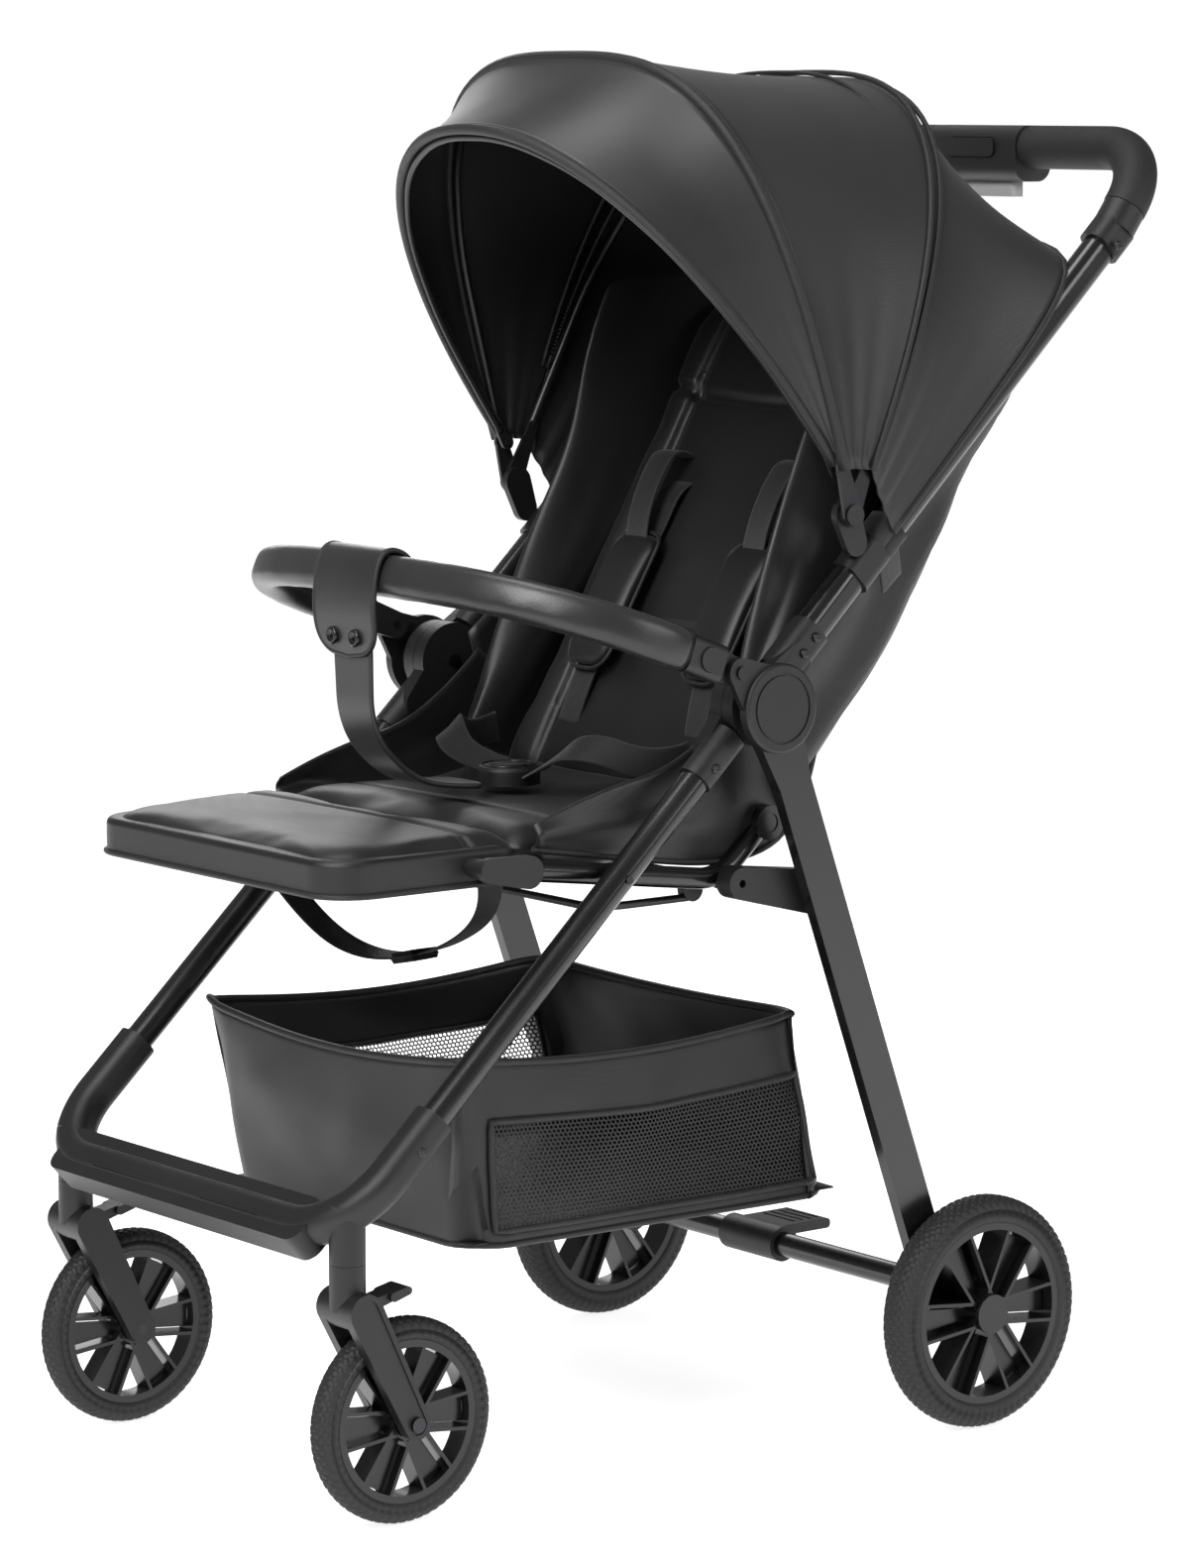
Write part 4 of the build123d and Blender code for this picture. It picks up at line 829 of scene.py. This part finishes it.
def net_cells(name, place, u_range, v_range, size_u, size_v, thick, material, keep=lambda u, v: True):
    """A six-sided net laid over a curved place: each hole is one cell."""
    mesh = bmesh.new()
    count_u = int((u_range[1] - u_range[0]) / size_u)
    count_v = int((v_range[1] - v_range[0]) / (size_v * 0.866))
    found = {}

    def corner(u, v):
        key = (round(u / size_u * 12), round(v / size_v * 12))
        if key not in found:
            found[key] = mesh.verts.new(place(u, v))
        return found[key]

    for j in range(count_v):
        for i in range(count_u):
            cu = u_range[0] + size_u * (i + 0.5 + 0.5 * (j % 2))
            cv = v_range[0] + size_v * 0.866 * (j + 0.6)
            if not keep(cu, cv) or cu + size_u / 2 > u_range[1]:
                continue
            turns = [radians(60 * k) for k in range(6)]
            ring = [corner(cu + size_u * 0.577 * sin(a), cv + size_v * 0.577 * cos(a)) for a in turns]
            if len(set(ring)) == 6:
                mesh.faces.new(ring)
    mesh.normal_update()
    done = bmesh.ops.inset_individual(mesh, faces=mesh.faces[:], thickness=thick)
    rings = set(done["faces"])
    holes = [face for face in mesh.faces if face not in rings]
    bmesh.ops.delete(mesh, geom=holes, context="FACES")
    data = bpy.data.meshes.new(name)
    mesh.to_mesh(data)
    mesh.free()
    data.materials.append(material)
    piece = bpy.data.objects.new(name, data)
    scene.collection.objects.link(piece)
    return piece


NET_FRONT = 0.07
NET_REAR = 0.95
NET_TOP = 0.30
NET_FOOT = 0.92


def in_window(u, v):
    """Whether a place on the wall is cut out for one of the net windows."""
    k = int(u * 4) % 4
    t = u * 4 - int(u * 4)
    if k == 0 or k == 2:
        t = t if k == 0 else 1 - t
        return NET_FRONT < t < NET_REAR and NET_TOP < v < NET_FOOT
    return False


COLUMNS = 4 * 60
points = [tub_point(c / COLUMNS, r / BASKET_WALL_STEPS)
          for r in range(BASKET_WALL_STEPS + 1) for c in range(COLUMNS)]
faces = []
for r in range(BASKET_WALL_STEPS):
    for c in range(COLUMNS):
        if not in_window((c + 0.5) / COLUMNS, (r + 0.5) / BASKET_WALL_STEPS):
            c1 = (c + 1) % COLUMNS
            faces.append((r * COLUMNS + c, (r + 1) * COLUMNS + c, (r + 1) * COLUMNS + c1, r * COLUMNS + c1))
tub = mesh_piece("basket_walls", points, faces, basket_cloth)
tub_mesh = bmesh.new()
tub_mesh.from_mesh(tub.data)
loose = [v for v in tub_mesh.verts if not v.link_faces]
bmesh.ops.delete(tub_mesh, geom=loose, context="VERTS")
tub_mesh.to_mesh(tub.data)
tub_mesh.free()
thicken(tub, 0.0013)
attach(tub, "front_frame")
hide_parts("basket")

NET = 0.0038
for name, first, side in (("left", 0.0, 1), ("right", 0.5, -1)):
    window_corners = [(NET_FRONT, NET_TOP), (NET_REAR, NET_TOP), (NET_REAR, NET_FOOT), (NET_FRONT, NET_FOOT)]
    edge = []
    for k, (t, v) in enumerate(window_corners):
        next_t, next_v = window_corners[(k + 1) % 4]
        parts = 60 if k % 2 == 0 else 10
        for i in range(parts):
            here = t + (next_t - t) * i / parts
            here = here if side > 0 else 1 - here
            edge.append(tub_point(first + here / 4, v + (next_v - v) * i / parts) + Vector((side * 0.0012, 0, 0)))
    binding = rod(f"basket_window_binding_{name}", edge, 0.0026, binding_cloth, closed=True)
    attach(binding, "front_frame")
    length = (tub_point(first + 0.245, 0.5) - tub_point(first + 0.005, 0.5)).length
    depth = basket_high.z - basket_low.z - 0.01
    window = net_cells(
        f"basket_net_{name}", lambda u, v: tub_point(u, v), (first + 0.004, first + 0.246), (0.12, 0.96),
        NET / length * 0.24, NET / depth, 0.00075, net_cloth,
        keep=lambda u, v: in_window(u, v) or in_window(u + 0.004, v) or in_window(u - 0.004, v)
        or in_window(u, v + 0.03) or in_window(u, v - 0.03),
    )
    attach(window, "front_frame")


def floor_point(u, v):
    """A point of the floor: u across, v from front to back; it sags in the middle."""
    corners = tub_corners(0.0)
    front_place = corners[3].lerp(corners[0], u)
    rear_place = corners[2].lerp(corners[1], u)
    place = front_place.lerp(rear_place, v)
    edge = min(u, 1 - u, v, 1 - v)
    return Vector((place.x * 0.965, place.y * 0.99, basket_low.z + 0.0045 - 0.002 * min(edge * 6, 1.0)
                   + 0.0008 * noise.noise(Vector((u * 5, v * 5, 1)))))


points = [floor_point(c / 30, r / 34) for r in range(35) for c in range(31)]
floor_cloth = mesh_piece("basket_floor", points, grid_faces(35, 31), basket_cloth)
thicken(floor_cloth, 0.0013)
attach(floor_cloth, "front_frame")

hem = rod("basket_hem", [tub_point(c / 160, 0.0) for c in range(160)], 0.0030, binding_cloth, closed=True)
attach(hem, "front_frame")
floor_edge = [tub_point(c / 160, 1.0) for c in range(160)]
lower_hem = rod("basket_floor_seam", floor_edge, 0.0024, binding_cloth, closed=True)
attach(lower_hem, "front_frame")

# ---------------------------------------------------------------- bumper bar cover
# A zipped leatherette sleeve over a foam-covered steel bow. Its seam runs along the
# inside of the bar, and each end is turned in against the moulded end piece.
leatherette = coat("smooth_black_leatherette", (0.024, 0.024, 0.025), 0.33, grain=950, depth=0.14, cloudy=0.05)
leatherette.node_tree.nodes["Principled BSDF"].inputs["Sheen Weight"].default_value = 0.08
leatherette.node_tree.nodes["Principled BSDF"].inputs["Coat Weight"].default_value = 0.12
leatherette.node_tree.nodes["Principled BSDF"].inputs["Coat Roughness"].default_value = 0.35
BUMPER_ANGLE = 159.5
bumper_pivot = pivot["bumper_fold"]
bar_controls = [lean(bumper_pivot, BUMPER_ANGLE, reach, x) for x, reach in
                ((0.217, 0.0555), (0.2215, 0.100), (0.173, 0.1605), (0.09, 0.190))]
bar_controls += [Vector((-p.x, p.y, p.z)) for p in reversed(bar_controls)]
bar_path = even_line(bar_controls, 110)
bar_up = Vector((0, -sin(radians(BUMPER_ANGLE)), cos(radians(BUMPER_ANGLE))))
if bar_up.z < 0:
    bar_up = -bar_up


def squarish_ring(half_wide, half_tall, power, sides):
    """Points of a rounded oblong, as (across, up) pairs."""
    ring = []
    for k in range(sides):
        a = 2 * pi * k / sides
        across = half_wide * abs(cos(a)) ** power * (1 if cos(a) > 0 else -1)
        ring.append((across, half_tall * abs(sin(a)) ** power * (1 if sin(a) > 0 else -1)))
    return ring


points = []
SIDES = 28
for i, here in enumerate(bar_path):
    ahead = bar_path[min(i + 1, len(bar_path) - 1)]
    behind = bar_path[max(i - 1, 0)]
    along = (ahead - behind).normalized()
    side = along.cross(bar_up).normalized()
    end = min(i, len(bar_path) - 1 - i)
    swell = 0.90 + 0.10 * min(1.0, end / 3) ** 0.5
    for across, up in squarish_ring(0.0112 * swell, 0.0153 * swell, 0.72, SIDES):
        wrinkle = 0.0004 * noise.noise(Vector((i * 0.35, across * 200, up * 200)))
        points.append(here + side * (across + wrinkle) + bar_up * (up + wrinkle))
faces = grid_faces(len(bar_path), SIDES, wrap_columns=True)
faces += [tuple(range(SIDES)), tuple((len(bar_path) - 1) * SIDES + k for k in reversed(range(SIDES)))]
cover = mesh_piece("bumper_cover", points, faces, leatherette)
seam_path = [place - bar_up * 0.0030 + (Vector((0, -0.04, place.z)) - place).normalized() * 0.0110
             for place in bar_path[4:-4]]
seam = rod("bumper_seam", seam_path, 0.0008, binding_cloth)
cover = join("bumper_cover", [cover, seam])
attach(cover, "bumper")
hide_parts("bumper_bar")

# ---------------------------------------------------------------- bumper flap
# A leatherette flap buttoned round the middle of the bar by two press studs. It
# carries the strap that runs down between the child's legs to the seat.
bar_middle = lean(bumper_pivot, BUMPER_ANGLE, 0.190)
bar_out = Vector((0, cos(radians(BUMPER_ANGLE)), sin(radians(BUMPER_ANGLE))))
flap_route = [bar_middle + bar_out * o + bar_up * h for o, h in (
    (-0.0135, -0.004), (-0.0140, 0.012), (-0.0085, 0.0187), (0.0065, 0.0190), (0.0138, 0.0125), (0.0150, 0.0))]
front_drop = bar_middle + Vector((0, -0.0165, -0.030))
flap_route += [front_drop + Vector((0, -0.0005, 0.008)), front_drop + Vector((0, 0.0015, -0.012)),
               front_drop + Vector((0, 0.0040, -0.030))]
flap_line = even_line(flap_route, 60)
FLAP_HALF = 0.037


def tongue(name, line, half, round_end, material, depth, pinch=0.0):
    """A strap of leatherette with one rounded end, thick enough to see."""
    points = []
    total = len(line) - 1
    length = sum((b - a).length for a, b in zip(line, line[1:]))
    gone = 0.0
    for r, place in enumerate(line):
        if r:
            gone += (line[r] - line[r - 1]).length
        left = length - gone
        wide = half * (1 - pinch * sin(pi * r / total))
        if left < round_end:
            share = 1 - left / round_end
            wide *= max(0.0, 1 - share ** 2.6) ** (1 / 2.6) * 0.98 + 0.02
        for c in range(25):
            x = wide * (c / 12 - 1)
            points.append(Vector((x, place.y, place.z)))
    piece = mesh_piece(name, points, grid_faces(len(line), 25), material)
    thicken(piece, depth, offset=0.0)
    return piece


flap = tongue("bumper_flap_cover", flap_line, FLAP_HALF, 0.030, leatherette, 0.0028)
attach(flap, "bumper")
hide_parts("bumper_flap")
edge = []
for sign, run in ((1, flap_line), (-1, list(reversed(flap_line)))):
    count = len(run)
    for r, place in enumerate(run):
        step = r if sign == 1 else count - 1 - r
        left = sum((b - a).length for a, b in zip(flap_line[step:], flap_line[step + 1:]))
        wide = FLAP_HALF
        if left < 0.030:
            wide *= max(0.0, 1 - (1 - left / 0.030) ** 2.6) ** (1 / 2.6) * 0.98 + 0.02
        if left > 0.0004 or sign == 1:
            edge.append(Vector((sign * wide, place.y, place.z)))
flap_edge = rod("bumper_flap_edge", edge, 0.0021, binding_cloth, closed=True)
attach(flap_edge, "bumper")
for hand, x in (("left", 0.014), ("right", -0.014)):
    rings = ((0.0064, 0.0), (0.0066, 0.0010), (0.0058, 0.0022), (0.0044, 0.0027), (0.0036, 0.0020), (0.0010, 0.0018))
    middle = front_drop + Vector((x, -0.0004, -0.016))
    turns = [2 * pi * k / 28 for k in range(28)]
    points = [middle + Vector((r * cos(a), -o, r * sin(a))) for r, o in rings for a in turns]
    faces = grid_faces(len(rings), 28, wrap_columns=True) + [tuple((len(rings) - 1) * 28 + k for k in range(28))]
    stud = mesh_piece(f"press_stud_{hand}", points, faces, gloss_nylon)
    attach(stud, "bumper")

# ---------------------------------------------------------------- crotch strap
# A padded leatherette strap that hangs from the flap and goes down to the seat,
# where its end tucks under the buckle.
strap_controls = [
    bar_middle + Vector((0, -0.010, -0.022)), bar_middle + Vector((0, -0.008, -0.060)),
    Vector((0, calf_hinge.y - 0.022, calf_hinge.z + 0.086)), Vector((0, calf_hinge.y + 0.012, calf_hinge.z + 0.050)),
    Vector((0, calf_hinge.y + 0.048, calf_hinge.z + 0.0395)), Vector((0, calf_hinge.y + 0.082, calf_hinge.z + 0.0385)),
]
strap_line = even_line(strap_controls, 56)
crotch = tongue("crotch_strap_cover", strap_line, 0.0245, 0.010, leatherette, 0.0042, pinch=0.12)
soft = crotch.modifiers.new("soft", "SUBSURF")
soft.levels = soft.render_levels = 1
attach(crotch, "bumper")
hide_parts("crotch_strap")

# ---------------------------------------------------------------- back wings
# A loose roll of the back's cloth stands up on each side of the pad, from the seat
# to the head, where it is folded over. It keeps the child's head from the tubes.


def wing_roll(name, sign):
    """One wing: a limp roll whose folds run along it, widest by the head."""
    points = []
    for r in range(61):
        s = r / 60
        up = 0.010 + 0.418 * s
        wide = (0.0085 + 0.006 * sin(pi * min(s * 1.25, 1.0)) ** 1.4) * min(1.0, 9 * (1 - s) + 0.15) ** 0.6
        tall = (0.026 + 0.036 * s ** 1.3) * min(1.0, 8 * (1 - s) + 0.10) ** 0.5
        centre_x = sign * (0.153 - 0.008 * sin(pi * s) - 0.010 * s * s + 0.004 * sin(9 * s))
        for k in range(28):
            a = 2 * pi * k / 28
            spread = noise.noise(Vector((cos(a) * 1.3, sin(a) * 1.3, s * 4 + sign)))
            crease = 1 + 0.16 * sin(3 * a + 5 * s) + 0.16 * spread
            x = centre_x + wide * cos(a) * crease
            out = 0.014 + tall * 0.55 + tall * sin(a) * crease
            points.append(on_back(x, up, max(out, 0.004)))
    faces = grid_faces(61, 28, wrap_columns=True)
    faces += [tuple(range(28)), tuple(60 * 28 + k for k in reversed(range(28)))]
    roll = mesh_piece(name, points, faces, seat_cloth)
    soft = roll.modifiers.new("soft", "SUBSURF")
    soft.levels = soft.render_levels = 1
    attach(roll, "back")
    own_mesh(roll)


wing_roll("back_wing_left", 1)
wing_roll("back_wing_right", -1)

# ---------------------------------------------------------------- harness
# A five-point harness of 25 mm webbing: two shoulder straps with foam pads come
# out of slots in the back, two waist straps come from its lower corners, and all
# of them end at the round buckle on the seat.


def webbing_finish(name, colour):
    """Woven tape: ribs that cross it, and a slightly brighter thread here and there."""
    made = coat(name, colour, 0.5, grain=2600, depth=0.25)
    tree = made.node_tree
    ribs = tree.nodes.new("ShaderNodeTexWave")
    ribs.bands_direction = "DIAGONAL"
    ribs.inputs["Scale"].default_value = 330
    ribs.inputs["Distortion"].default_value = 1.0
    tree.links.new(tree.nodes["Texture Coordinate"].outputs["Object"], ribs.inputs["Vector"])
    second = tree.nodes.new("ShaderNodeBump")
    second.inputs["Strength"].default_value = 0.45
    second.inputs["Distance"].default_value = 0.0008
    tree.links.new(ribs.outputs["Fac"], second.inputs["Height"])
    tree.links.new(tree.nodes["Bump"].outputs["Normal"], second.inputs["Normal"])
    tree.links.new(second.outputs["Normal"], tree.nodes["Principled BSDF"].inputs["Normal"])
    tree.nodes["Principled BSDF"].inputs["Sheen Weight"].default_value = 0.2
    return made


webbing = webbing_finish("black_webbing", (0.012, 0.012, 0.0125))
TAPE_SECTION = ((-1, -0.6), (-0.85, -1), (0, -1), (0.85, -1), (1, -0.6),
                (1, 0.6), (0.85, 1), (0, 1), (-0.85, 1), (-1, 0.6))


def strap(name, controls, across, width, thick, material, steps=40, body="back"):
    """A flat strap along a route; across gives its width direction from end to end."""
    line = even_line(controls, steps)
    points = []
    for i, here in enumerate(line):
        along = (line[min(i + 1, steps)] - line[max(i - 1, 0)]).normalized()
        share = i / steps
        wide = across[0].lerp(across[-1], share)
        wide = (wide - along * wide.dot(along)).normalized() * width / 2
        up = along.cross(wide).normalized() * thick / 2
        for x, y in TAPE_SECTION:
            points.append(here + wide * x + up * y)
    faces = grid_faces(steps + 1, 10, wrap_columns=True)
    faces += [tuple(range(10)), tuple(steps * 10 + k for k in reversed(range(10)))]
    piece = mesh_piece(name, points, faces, material)
    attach(piece, body)
    return piece


x_axis = Vector((1, 0, 0))
buckle_low, buckle_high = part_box("buckle")
buckle_middle = (buckle_low + buckle_high) / 2
for hand, sign in (("left", 1), ("right", -1)):
    shoulder = strap(f"shoulder_strap_{hand}", [
        on_back(sign * 0.062, 0.262, 0.008), on_back(sign * 0.064, 0.258, 0.030), on_back(sign * 0.067, 0.205, 0.026),
        on_back(sign * 0.070, 0.120, 0.030), on_back(sign * 0.074, 0.075, 0.026), on_back(sign * 0.078, 0.046, 0.018),
    ], [x_axis, x_axis], 0.025, 0.0022, webbing)
    loop = strap(f"shoulder_loop_{hand}", [
        on_back(sign * 0.074, 0.278, 0.008), on_back(sign * 0.075, 0.282, 0.040), on_back(sign * 0.074, 0.248, 0.046),
        on_back(sign * 0.072, 0.205, 0.040), on_back(sign * 0.070, 0.190, 0.030),
    ], [x_axis, x_axis], 0.025, 0.0022, webbing, steps=30)
    pad_plan = rounded_outline(0.026, 0.0, 0.118, 0.020, 0.014)
    pad = slab(f"shoulder_pad_{hand}", pad_plan, 0.000, 0.010, seat_cloth, crown=0.002)
    puff(pad, 3.0, 0.003, voxel=0.0035)
    for vertex in pad.data.vertices:
        vertex.co = on_back(vertex.co.x + sign * 0.070, vertex.co.y + 0.088, vertex.co.z + 0.0275
                            + 0.004 * sin(pi * (vertex.co.y / 0.118)))
    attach(pad, "back")
    if hand == "left":
        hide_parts("harness")
    edge_path = [on_back(place.x + sign * 0.070, place.y + 0.088, 0.0325 + 0.004 * sin(pi * place.y / 0.118))
                 for place in pad_plan]
    pad_edge = rod(f"shoulder_pad_edge_{hand}", edge_path, 0.0017, binding_cloth, closed=True)
    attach(pad_edge, "back")

    waist_z = buckle_low.z + 0.005
    waist = strap(f"waist_strap_{hand}", [
        Vector((sign * 0.120, back_hinge_place.y - 0.030, waist_z + 0.020)),
        Vector((sign * 0.118, back_hinge_place.y - 0.062, waist_z + 0.012)),
        Vector((sign * 0.085, back_hinge_place.y - 0.105, waist_z + 0.034)),
        Vector((sign * 0.050, back_hinge_place.y - 0.118, waist_z + 0.012)),
        Vector((sign * 0.020, buckle_middle.y + 0.010, waist_z + 0.004)),
    ], [Vector((0, 0.45, 0.9)), Vector((0, 1, 0.25))], 0.025, 0.0022, webbing, body="seat")

for radius, height in ((0.0195, 0.0142), (0.0105, 0.0128)):
    turns = [2 * pi * k / 48 for k in range(48)]
    ring_path = [buckle_middle + Vector((radius * cos(a), radius * sin(a), height - 0.007)) for a in turns]
    ring = rod(f"buckle_ring_{int(radius * 10000)}", ring_path, 0.0010, gloss_nylon, closed=True)
    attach(ring, "seat" if radius > 0.015 else "buckle_button")

# ---------------------------------------------------------------- straps on the frame
# Webbing loops hold the seat cloth to the push tubes, a transport strap with a
# side-release buckle runs under the seat.
for hand, sign in (("left", 1), ("right", -1)):
    tube_spot = lean(hub, push_slope, 0.168, sign * 0.191)
    a = radians(push_slope)
    along_tube = Vector((0, cos(a), sin(a)))
    off_tube = Vector((0, -sin(a), cos(a)))
    wrap = []
    for k in range(33):
        angle = 2 * pi * k / 32
        c, s = cos(angle), sin(angle)
        wrap.append(tube_spot + Vector((0.0125 * abs(c) ** 0.6 * (1 if c > 0 else -1), 0, 0))
                    + off_tube * 0.0150 * abs(s) ** 0.6 * (1 if s > 0 else -1))
    points = []
    for place in wrap:
        for width in (-0.0125, -0.004, 0.004, 0.0125):
            points.append(place + along_tube * width)
    tape = mesh_piece(f"push_tube_loop_{hand}", points, grid_faces(33, 4), webbing)
    thicken(tape, 0.0016, offset=1.0)
    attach(tape, "push_frame")
    tail_tape = strap(f"push_tube_tail_{hand}", [
        tube_spot + off_tube * -0.013 + Vector((-sign * 0.002, 0, 0)),
        tube_spot + off_tube * -0.024 + Vector((-sign * 0.008, 0, -0.004)),
        tube_spot + off_tube * -0.040 + Vector((-sign * 0.018, 0, -0.008)),
    ], [along_tube, along_tube], 0.025, 0.002, webbing, steps=10, body="push_frame")

carry_route = ((0.118, 0.012, -0.014), (0.100, 0.030, -0.044), (0.030, 0.030, -0.082),
               (-0.040, 0.012, -0.092), (-0.085, -0.012, -0.060), (-0.128, -0.020, -0.016))
carry = strap("transport_strap", [
    Vector((x, calf_hinge.y + y, calf_hinge.z + z)) for x, y, z in carry_route
], [Vector((0, 1, 0)), Vector((0, 1, 0.3))], 0.020, 0.0018, webbing, steps=60, body="seat")
clip_spot = Vector((0.006, calf_hinge.y + 0.026, calf_hinge.z - 0.086))
clip_plan = rounded_outline(0.017, -0.0125, 0.0125, 0.004, 0.004, steps=5)
clip = slab("strap_clip", clip_plan, -0.004, 0.004, nylon)
tilt = radians(14)
for vertex in clip.data.vertices:
    x, y, z = vertex.co
    vertex.co = clip_spot + Vector((x * cos(tilt) - z * sin(tilt), y, x * sin(tilt) + z * cos(tilt)))
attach(clip, "seat")

# ---------------------------------------------------------------- canopy zip
# A zip on the inside of the canopy, beside the rear bow, lets in a hidden panel:
# two tapes and a row of moulded teeth.
zip_line = [place.lerp(canopy_heart, 0.040) for place in beside(rear_line, 5.0)][6:-6]
teeth = bmesh.new()
run = 0.0
for before, here in zip(zip_line, zip_line[1:]):
    along = (here - before).normalized()
    step_length = (here - before).length
    out = (here - canopy_heart).normalized()
    across_zip = along.cross(out).normalized()
    turn = Matrix((along, across_zip, out)).transposed().to_4x4()
    while run < step_length:
        spot = before + along * run
        tooth = bmesh.ops.create_cube(teeth, size=1.0)
        bmesh.ops.scale(teeth, vec=(0.0016, 0.0052, 0.0016), verts=tooth["verts"])
        bmesh.ops.transform(teeth, matrix=Matrix.Translation(spot) @ turn, verts=tooth["verts"])
        run += 0.0032
    run -= step_length
teeth_mesh = bpy.data.meshes.new("canopy_zip_teeth")
teeth.to_mesh(teeth_mesh)
teeth.free()
teeth_mesh.materials.append(gloss_nylon)
zip_teeth = bpy.data.objects.new("canopy_zip_teeth", teeth_mesh)
scene.collection.objects.link(zip_teeth)
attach(zip_teeth, "canopy_rear")
for name, angle in (("front", 6.6), ("back", 3.4)):
    tape_line = [place.lerp(canopy_heart, 0.036) for place in beside(rear_line, angle)][5:-5]
    tape = rod(f"canopy_zip_tape_{name}", tape_line, 0.0016, binding_cloth, sides=6)
    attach(tape, "canopy_rear")

# ---------------------------------------------------------------- screw heads
# Countersunk cross-head screws that hold the foot bar's sleeves and the hub
# sockets to the tubes, with a shallow cross pressed into each dome.


def screw_head(name, spot, radius, body, facing=1):
    """A domed head that faces sideways, with a cross cut in its middle."""
    points = []
    rings = ((1.0, 0.0), (1.0, 0.25), (0.86, 0.42), (0.62, 0.52), (0.34, 0.55), (0.12, 0.50))
    for share, height in rings:
        for k in range(24):
            a = 2 * pi * k / 24
            deep = 0.30 if share < 0.7 and (k % 6 == 0) else 0.0
            out = facing * (height - deep)
            points.append(spot + radius * Vector((out, share * cos(a), share * sin(a))))
    faces = grid_faces(len(rings), 24, wrap_columns=True) + [tuple((len(rings) - 1) * 24 + k for k in range(24))]
    head = mesh_piece(name, points, faces, bolt_steel)
    tidy = bmesh.new()
    tidy.from_mesh(head.data)
    bmesh.ops.recalc_face_normals(tidy, faces=tidy.faces)
    tidy.to_mesh(head.data)
    tidy.free()
    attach(head, body)


front_angle = 180 + 43.2
for hand, sign in (("left", 1), ("right", -1)):
    for k, (place, body, reach) in enumerate((
        (lean(hub, front_angle, 0.425), "front_frame", 0.2045),
        (lean(hub, front_angle, 0.062), "front_frame", 0.2040),
        (lean(hub, push_slope, 0.052), "push_frame", 0.2044),
        (lean(hub, push_slope, 0.068), "push_frame", 0.2044),
        (lean(hub, push_slope, 0.474), "push_frame", 0.2090),
    )):
        screw_head(f"screw_{k}_{hand}", Vector((sign * reach, place.y, place.z)), 0.0036, body, facing=sign)
